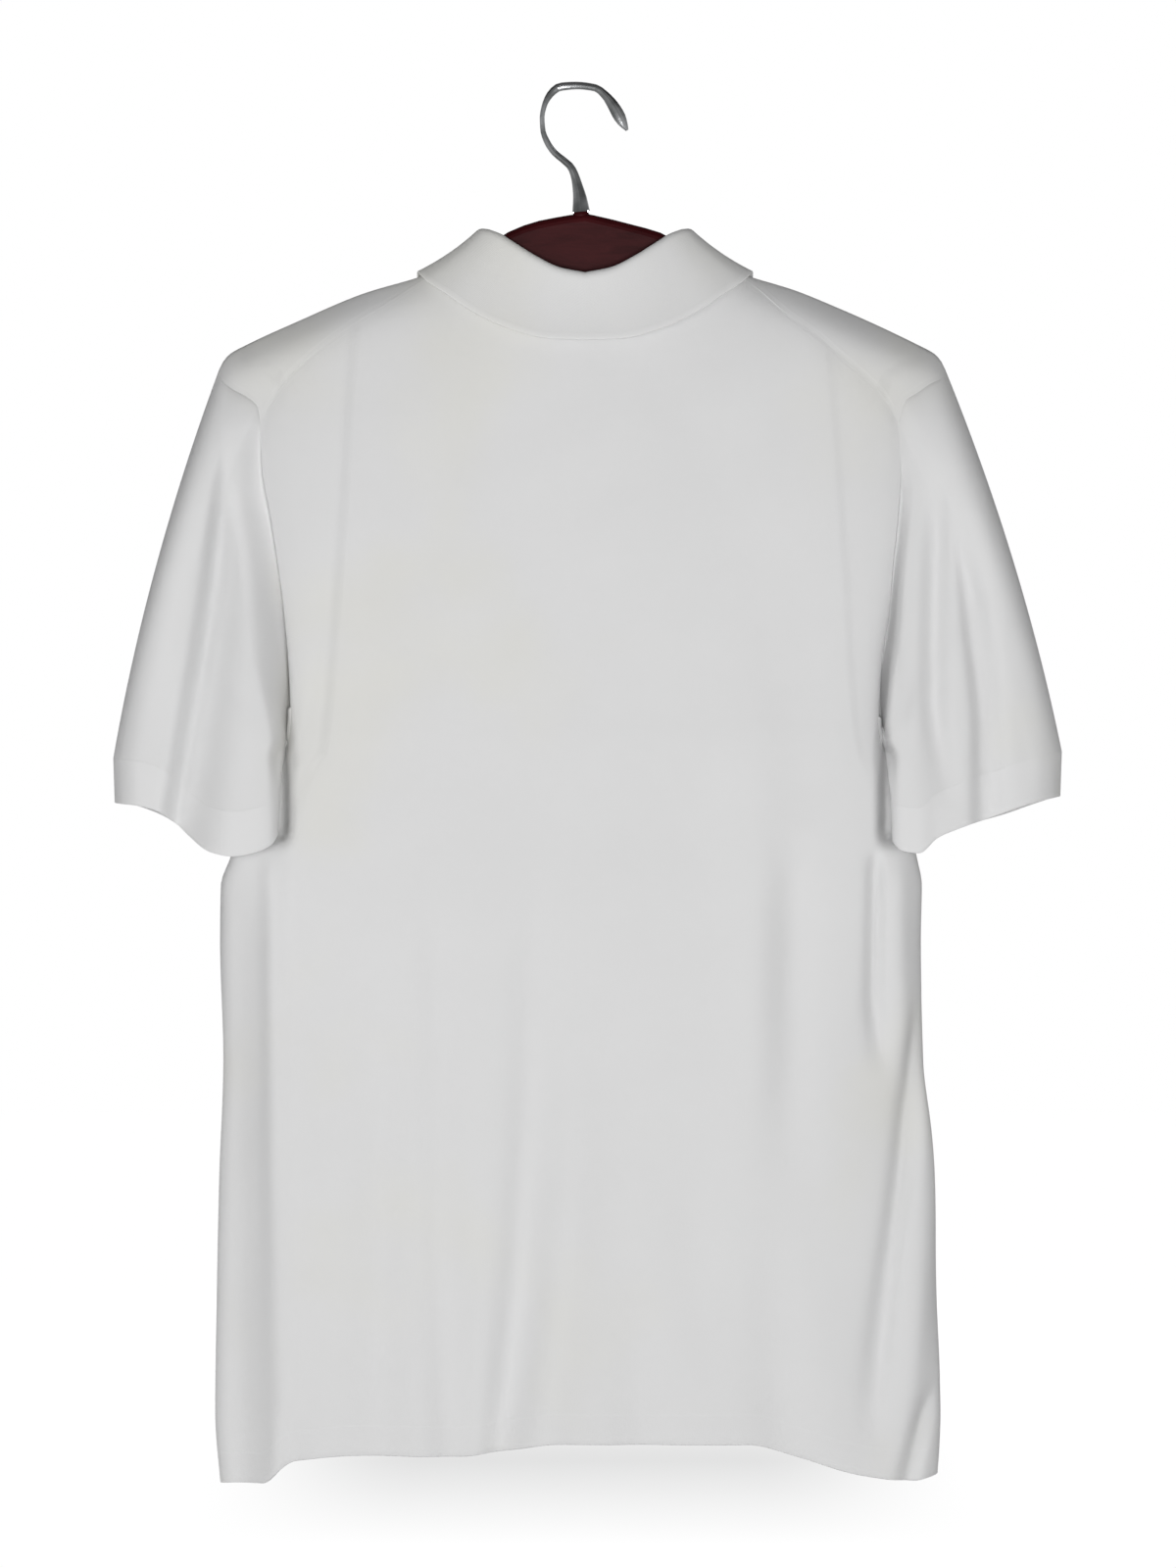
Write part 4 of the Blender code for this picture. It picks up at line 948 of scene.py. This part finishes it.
def makeCloth(name, knitGroup, seamGroup, changes):
    look = {**cloth, **changes}
    material, tree, shader = newMaterial(name)
    knitMap, seamMap = (addNode(tree, "UVMap", {}, {"uv_map": title}).outputs[0]
                        for title in ("knitMap", "seamMap"))
    stitches = {"Map": knitMap, "Wale": look["wale"], "Course": look["course"]}
    knit = addNode(tree, "Group", stitches, {"node_tree": knitGroup})
    lines = {"Map": seamMap, "Row": look["seamRow"], "Hem": look["hemLine"]}
    seam = addNode(tree, "Group", lines, {"node_tree": seamGroup}).outputs["Height"]
    place = objectPlace(tree)
    mottle = noise(tree, place, 34.0, 5.0, Roughness=0.65)
    mottleAndPaintedLight = calc(tree, "MULTIPLY", mottle, 0.22)
    # painted shade: the colour darkens in the valleys between the stitches
    mottleAndPaintedLight = calc(tree, "MULTIPLY_ADD", knit.outputs["Valley Shade"], 0.18, mottleAndPaintedLight)
    # painted highlight: the colour lightens along the raised joints, stitched rows and hem line
    mottleAndPaintedLight = calc(tree, "MULTIPLY_ADD", seam, -0.1, mottleAndPaintedLight)
    colour = mixColour(tree, mottleAndPaintedLight, look["colour"], look["shade"])
    patches = noise(tree, place, 4.5, 3.0, Roughness=0.55)
    patches = scale(tree, patches, 0.5, 0.68, kind="SMOOTHSTEP")
    fibre = calc(tree, "MULTIPLY", noise(tree, place, 900.0, 2.0), look["stitchHeight"] * 0.8)
    height = calc(tree, "MULTIPLY_ADD", knit.outputs["Height"], look["stitchHeight"], fibre)
    height = calc(tree, "MULTIPLY_ADD", seam, look["seamHeight"], height)
    setInputs(tree, shader, {
        "Base Color": mixColour(tree, patches, colour, look["yellowed"], "MULTIPLY"),
        "Normal": addBump(tree, height, 0.7), "Roughness": look["roughness"],
        "Sheen Weight": look["sheen"], "Sheen Roughness": 0.45, "Specular IOR Level": 0.25,
    })
    return material


lacquer = {"light": (0.075, 0.006, 0.008), "dark": (0.009, 0.0015, 0.002), "roughness": 0.5}


def makeLacquer():
    material, tree, shader = newMaterial("dark red lacquered wood")
    along = addNode(tree, "Mapping", {0: objectPlace(tree), "Scale": (9, 90, 60)}).outputs[0]
    grain = noise(tree, along, 3.0, 8.0, Roughness=0.7, Distortion=0.6)
    pores = calc(tree, "MULTIPLY", noise(tree, along, 22.0, 3.0), 0.00008)
    setInputs(tree, shader, {
        "Base Color": mixColour(tree, grain, lacquer["light"], lacquer["dark"]),
        "Roughness": calc(tree, "MULTIPLY_ADD", grain, 0.14, lacquer["roughness"] - 0.06),
        "Normal": addBump(tree, pores, 0.5), "Specular IOR Level": 0.08,
        "Coat Weight": 0.03, "Coat Roughness": 0.12,
    })
    return material


chrome = {"colour": (0.5, 0.51, 0.52), "tarnish": (0.2, 0.21, 0.21), "roughness": 0.1}


def makeChrome():
    material, tree, shader = newMaterial("polished chrome")
    place = objectPlace(tree)
    smear = noise(tree, place, 160.0, 4.0)
    blot = scale(tree, noise(tree, place, 55.0, 2.0), 0.38, 0.6)
    setInputs(tree, shader, {
        "Base Color": mixColour(tree, blot, chrome["colour"], chrome["tarnish"]),
        "Roughness": calc(tree, "MULTIPLY_ADD", smear, 0.09, chrome["roughness"] - 0.04),
        "Metallic": 1.0,
    })
    return material


resin = {"light": (0.8, 0.79, 0.75), "dark": (0.68, 0.67, 0.63), "roughness": 0.18}


def makeResin():
    material, tree, shader = newMaterial("button resin")
    cloud = noise(tree, objectPlace(tree), 240.0, 3.0, Distortion=1.2)
    setInputs(tree, shader, {
        "Base Color": mixColour(tree, cloud, resin["light"], resin["dark"]),
        "Roughness": calc(tree, "MULTIPLY_ADD", cloud, 0.12, resin["roughness"]),
        "Coat Weight": 0.4, "Subsurface Weight": 0.15, "Subsurface Scale": 0.002,
    })
    return material


print("shirt panels and sleeves")
back, backColumns = backGrid()
back = stepIn(back)
front, frontColumns = frontGrid()
pieces = {}
underArms = {}
for side, column in (("left", 0), ("right", -1)):
    ring, underArm = armholeRing(back, front, column)
    sleevePart, cuffPart = sleeveGrids(side, ring, underArm)
    flip = 1 if side == "right" else -1
    title = side.title()
    pieces["sleeve" + title] = (sleevePart, True, flip)
    pieces["cuff" + title] = (cuffPart, True, flip)
    underArms["sleeve" + title] = underArms["cuff" + title] = underArm
pieces["backPanel"] = (foldPanel(back, "back", backColumns, 1, 1), False, 1)
pieces["frontPanel"] = (foldPanel(front, "front", frontColumns, -1, 3), False, -1)

print("materials")
knitGroup, seamGroup = makeKnitGroup(), makeSeamGroup()
bodyKnit = makeCloth("fine cotton knit", knitGroup, seamGroup, {})
cuffKnit = makeCloth("cuff knit", knitGroup, seamGroup, {"wale": 0.0012, "hemLine": 0.5})
collarKnit = makeCloth("collar knit", knitGroup, seamGroup, {
    "colour": (0.79, 0.79, 0.788), "wale": 0.0011, "course": 0.0009, "hemLine": 0.0028,
    "seamRow": 0.6,
})
placketKnit = makeCloth("placket knit", knitGroup, seamGroup, {"hemLine": 0.0022, "wale": 0.0012})
threadCotton = makeCloth("sewing thread", knitGroup, seamGroup, {"colour": (0.76, 0.755, 0.74)})
woodLacquer, hookChrome, buttonResin = makeLacquer(), makeChrome(), makeResin()

# Each piece of cloth: the solid it stands for, the width, length and area of its cut
# laid flat, in metres, and what it hangs from.
cloths = {
    "backPanel": ("back_panel", (0.53, 0.75), 0.30, ["frontPanel", "hanger_wood"]),
    "frontPanel": ("front_panel", (0.53, 0.78), 0.31, ["hanger_wood"]),
    "sleeveLeft": ("sleeve_left", (0.38, 0.26), 0.047, ["backPanel", "frontPanel"]),
    "sleeveRight": ("sleeve_right", (0.38, 0.26), 0.047, ["backPanel", "frontPanel"]),
    "cuffLeft": ("cuff_left", (0.33, 0.028), None, ["sleeveLeft"]),
    "cuffRight": ("cuff_right", (0.33, 0.028), None, ["sleeveRight"]),
    "knitCollar": ("collar", (0.46, 0.085), None, ["backPanel", "frontPanel"]),
    "frontPlacket": ("placket", (0.036, 0.146), None, ["frontPanel"]),
}

print("cloth walls")
met = seamNormals(pieces)
sides, made = {}, {}
for name, (grid, wrap, flip) in pieces.items():
    outer, inner = sides[name] = clothSides(grid, wrap, flip, met)
    isCuff, isPanel = name.startswith("cuff"), name.endswith("Panel")
    openRow = -1 if isCuff else 0 if isPanel else None
    maps = clothMaps(grid, wrap, openRow, underArms.get(name))
    if isPanel:  # the hem is turned up double
        inside = shirt["hemBand"] + shirt["hemFade"] / 2 - maps[1][1] / mm
        lift = ease(inside / shirt["hemFade"])[:, :, None] * gridNormals(grid, wrap, flip)
        columns = backColumns if name == "backPanel" else frontColumns
        level = 1 - np.abs(columns) ** shirt["still"]
        outer += shirt["hemRaise"] * lift * level[None, :, None]
    openSides = ("end",) if isCuff else ("start",) if isPanel else ()
    material = cuffKnit if isCuff else bodyKnit
    made[name] = wallMesh(name, outer, inner, wrap, flip, maps, openSides, material)

print("collar and placket")
face, reverse = collarSides(sides)
across, up = gridRuns(face, False)
edge = np.minimum(up[-1] - up, np.minimum(across, across[:, -1:] - across))
middle = across.shape[1] // 2
maps = ((across - across[:, middle : middle + 1], up), (np.ones(up.shape), edge))
openSides = ("end", "left", "right")
made["knitCollar"] = wallMesh("knitCollar", face, reverse, False, 1, maps, openSides, collarKnit)

face, reverse = placketSides(sides["frontPanel"][0])
across, up = gridRuns(face, False)
edge = np.minimum(across, across[:, -1:] - across)
maps = ((across, up), (np.ones(up.shape), np.minimum(edge, up)))
openSides = ("start", "left", "right")
made["frontPlacket"] = wallMesh("frontPlacket", face, reverse, False, -1, maps, openSides,
                                placketKnit)

print("buttons")
buttonParts = []
strip = shirt["seamGap"] + placket["wall"]
for label, drop in button["drops"].items():
    under = frontPlace(drop) + shirt["seamGap"] + strip + button["lift"]
    disc = addButton("button" + label, buttonResin)
    disc.location = (0, under * mm, -drop * mm)
    disc.rotation_euler = (-math.pi / 2, 0, 0)
    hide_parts("button_" + label.lower())
    spread = button["holeSpread"] * math.sqrt(0.5)
    top, deep = under + button["height"] * 0.7 + 0.25, under + 0.6
    stitches = []
    for z in (-spread - drop, spread - drop):
        stitches.append([(-spread, deep, z), (-spread * 0.9, top, z), (0, top + 0.15, z),
                         (spread * 0.9, top, z), (spread, deep, z)])
    thread = addThread("buttonThread" + label, stitches, button["thread"], threadCotton)
    around = []
    for x, rise, _ in circle(button["slitEnd"], button["slitEnd"], 0, 40):
        end = (button["slit"] - 0.7) * (1 if rise > 0 else -1)
        z = end + rise - drop
        around.append((x, frontPlace(-z) + strip + 0.05, z))
    hole = addThread("buttonhole" + label, [around], button["slitThread"], threadCotton,
                     closed=True)
    buttonParts += [disc, thread, hole]

print("hanger finishes")
for node, material in (("hanger_wood", woodLacquer), ("hanger_hook", hookChrome)):
    bpy.data.objects[node].material_slots[0].material = material

# A low dark collar hides the gap between the hook's foot and the wood.
boss = {"x": -2.4, "flat": 0.85, "rings": [  # radius and drop
    (5.6, 77.5), (5.0, 76.0), (4.2, 74.6), (3.7, 73.6), (3.3, 72.9), (2.9, 72.6),
]}
bossRings = [circle(radius * mm, boss["flat"] * radius * mm, -drop * mm, 40)
             for radius, drop in boss["rings"]]
hookBoss = addShape("hookBoss", ringShape(bossRings), woodLacquer)
hookBoss.data.transform(mathutils.Matrix.Translation((boss["x"] * mm, 0, 0)))
hookBoss.data.shade_smooth()

for item in [hookBoss, *buttonParts]:
    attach(item, "root")
for name, (node, flat, area, above) in cloths.items():
    item = made[name]
    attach(item, "root")
    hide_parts(node)

print("camera, floor and light")
studio = {
    "cameraPlace": (0.0018, -6.0, -0.4248), "lens": 225,
    "floorDrop": 0.895, "floorLight": 0.4,
    "shadow": 0.24, "shadowSides": (0.27, 0.11),
    "shadowFront": (0.05, 0.8), "shadowBack": (0.8, 1.5),
    "sky": 0.5, "zenith": 0.06, "zenithHeight": 0.7,
    "aim": (0, 0, -0.45),
    "lights": {  # place, size and power
        "key light": ((0.08, -3.1, -0.5), 0.6, 48),
        "fill light": ((-2.1, -1.9, -0.3), 1.0, 8),
        "front light": ((0.02, 3.1, -0.42), 0.5, 44),
    },
}
camera = addObject("camera", bpy.data.cameras.new("camera"))
camera.location = studio["cameraPlace"]
camera.rotation_euler = (math.pi / 2, 0, 0)
camera.data.lens = studio["lens"]
camera.data.sensor_fit = "VERTICAL"
camera.data.sensor_height = 36
bpy.context.scene.camera = camera

# The floor is white to the camera, with a soft shadow drawn behind the shirt.
floorMaterial, tree, shader = newMaterial("pale studio floor")
spot = addNode(tree, "SeparateXYZ", {0: objectPlace(tree)})
aside = calc(tree, "ABSOLUTE", spot.outputs["X"])
dark = scale(tree, aside, *studio["shadowSides"], 0.0, studio["shadow"], kind="SMOOTHSTEP")
dark = calc(tree, "MULTIPLY", dark, scale(tree, spot.outputs["Y"], *studio["shadowFront"]))
beyond = scale(tree, spot.outputs["Y"], *studio["shadowBack"], 1.0, 0.0, kind="SMOOTHSTEP")
glow = calc(tree, "SUBTRACT", 1.0, calc(tree, "MULTIPLY", dark, beyond))
seen = scale(tree, addNode(tree, "LightPath", {}).outputs["Is Camera Ray"], 0.0, 1.0,
             studio["floorLight"], 1.0)
setInputs(tree, shader, {
    "Base Color": (0.02, 0.02, 0.02, 1), "Roughness": 0.9, "Specular IOR Level": 0.0,
    "Emission Color": (1, 1, 1, 1), "Emission Strength": calc(tree, "MULTIPLY", glow, seen),
})
floorShape = bmesh.new()
bmesh.ops.create_grid(floorShape, x_segments=1, y_segments=1, size=8)
floor = addShape("floor", floorShape, floorMaterial)
floor.location = (0, 0, -studio["floorDrop"])

world = bpy.data.worlds.new("studio")
bpy.context.scene.world = world
world.use_nodes = True
tree = world.node_tree
height = addNode(tree, "SeparateXYZ", {0: addNode(tree, "TexCoord", {}).outputs["Generated"]})
room = scale(tree, height.outputs["Z"], 0.0, studio["zenithHeight"],
             studio["sky"], studio["zenith"])
rays = addNode(tree, "LightPath", {}).outputs["Is Camera Ray"]
setInputs(tree, tree.nodes["Background"], {
    "Color": (1, 1, 1, 1), "Strength": calc(tree, "MAXIMUM", rays, room),
})


def addLight(name, place, size, power):
    lamp = bpy.data.lights.new(name, "AREA")
    lamp.shape = "DISK"
    lamp.size = size
    lamp.energy = power
    item = addObject(name, lamp)
    item.location = place
    aim = np.array(studio["aim"]) - np.array(place)
    tilt = math.acos(-aim[2] / np.linalg.norm(aim))
    item.rotation_euler = (tilt, 0, math.atan2(aim[0], -aim[1]) + math.pi)


for name, (place, size, power) in studio["lights"].items():
    addLight(name, place, size, power)
bpy.context.scene.view_settings.view_transform = "Standard"
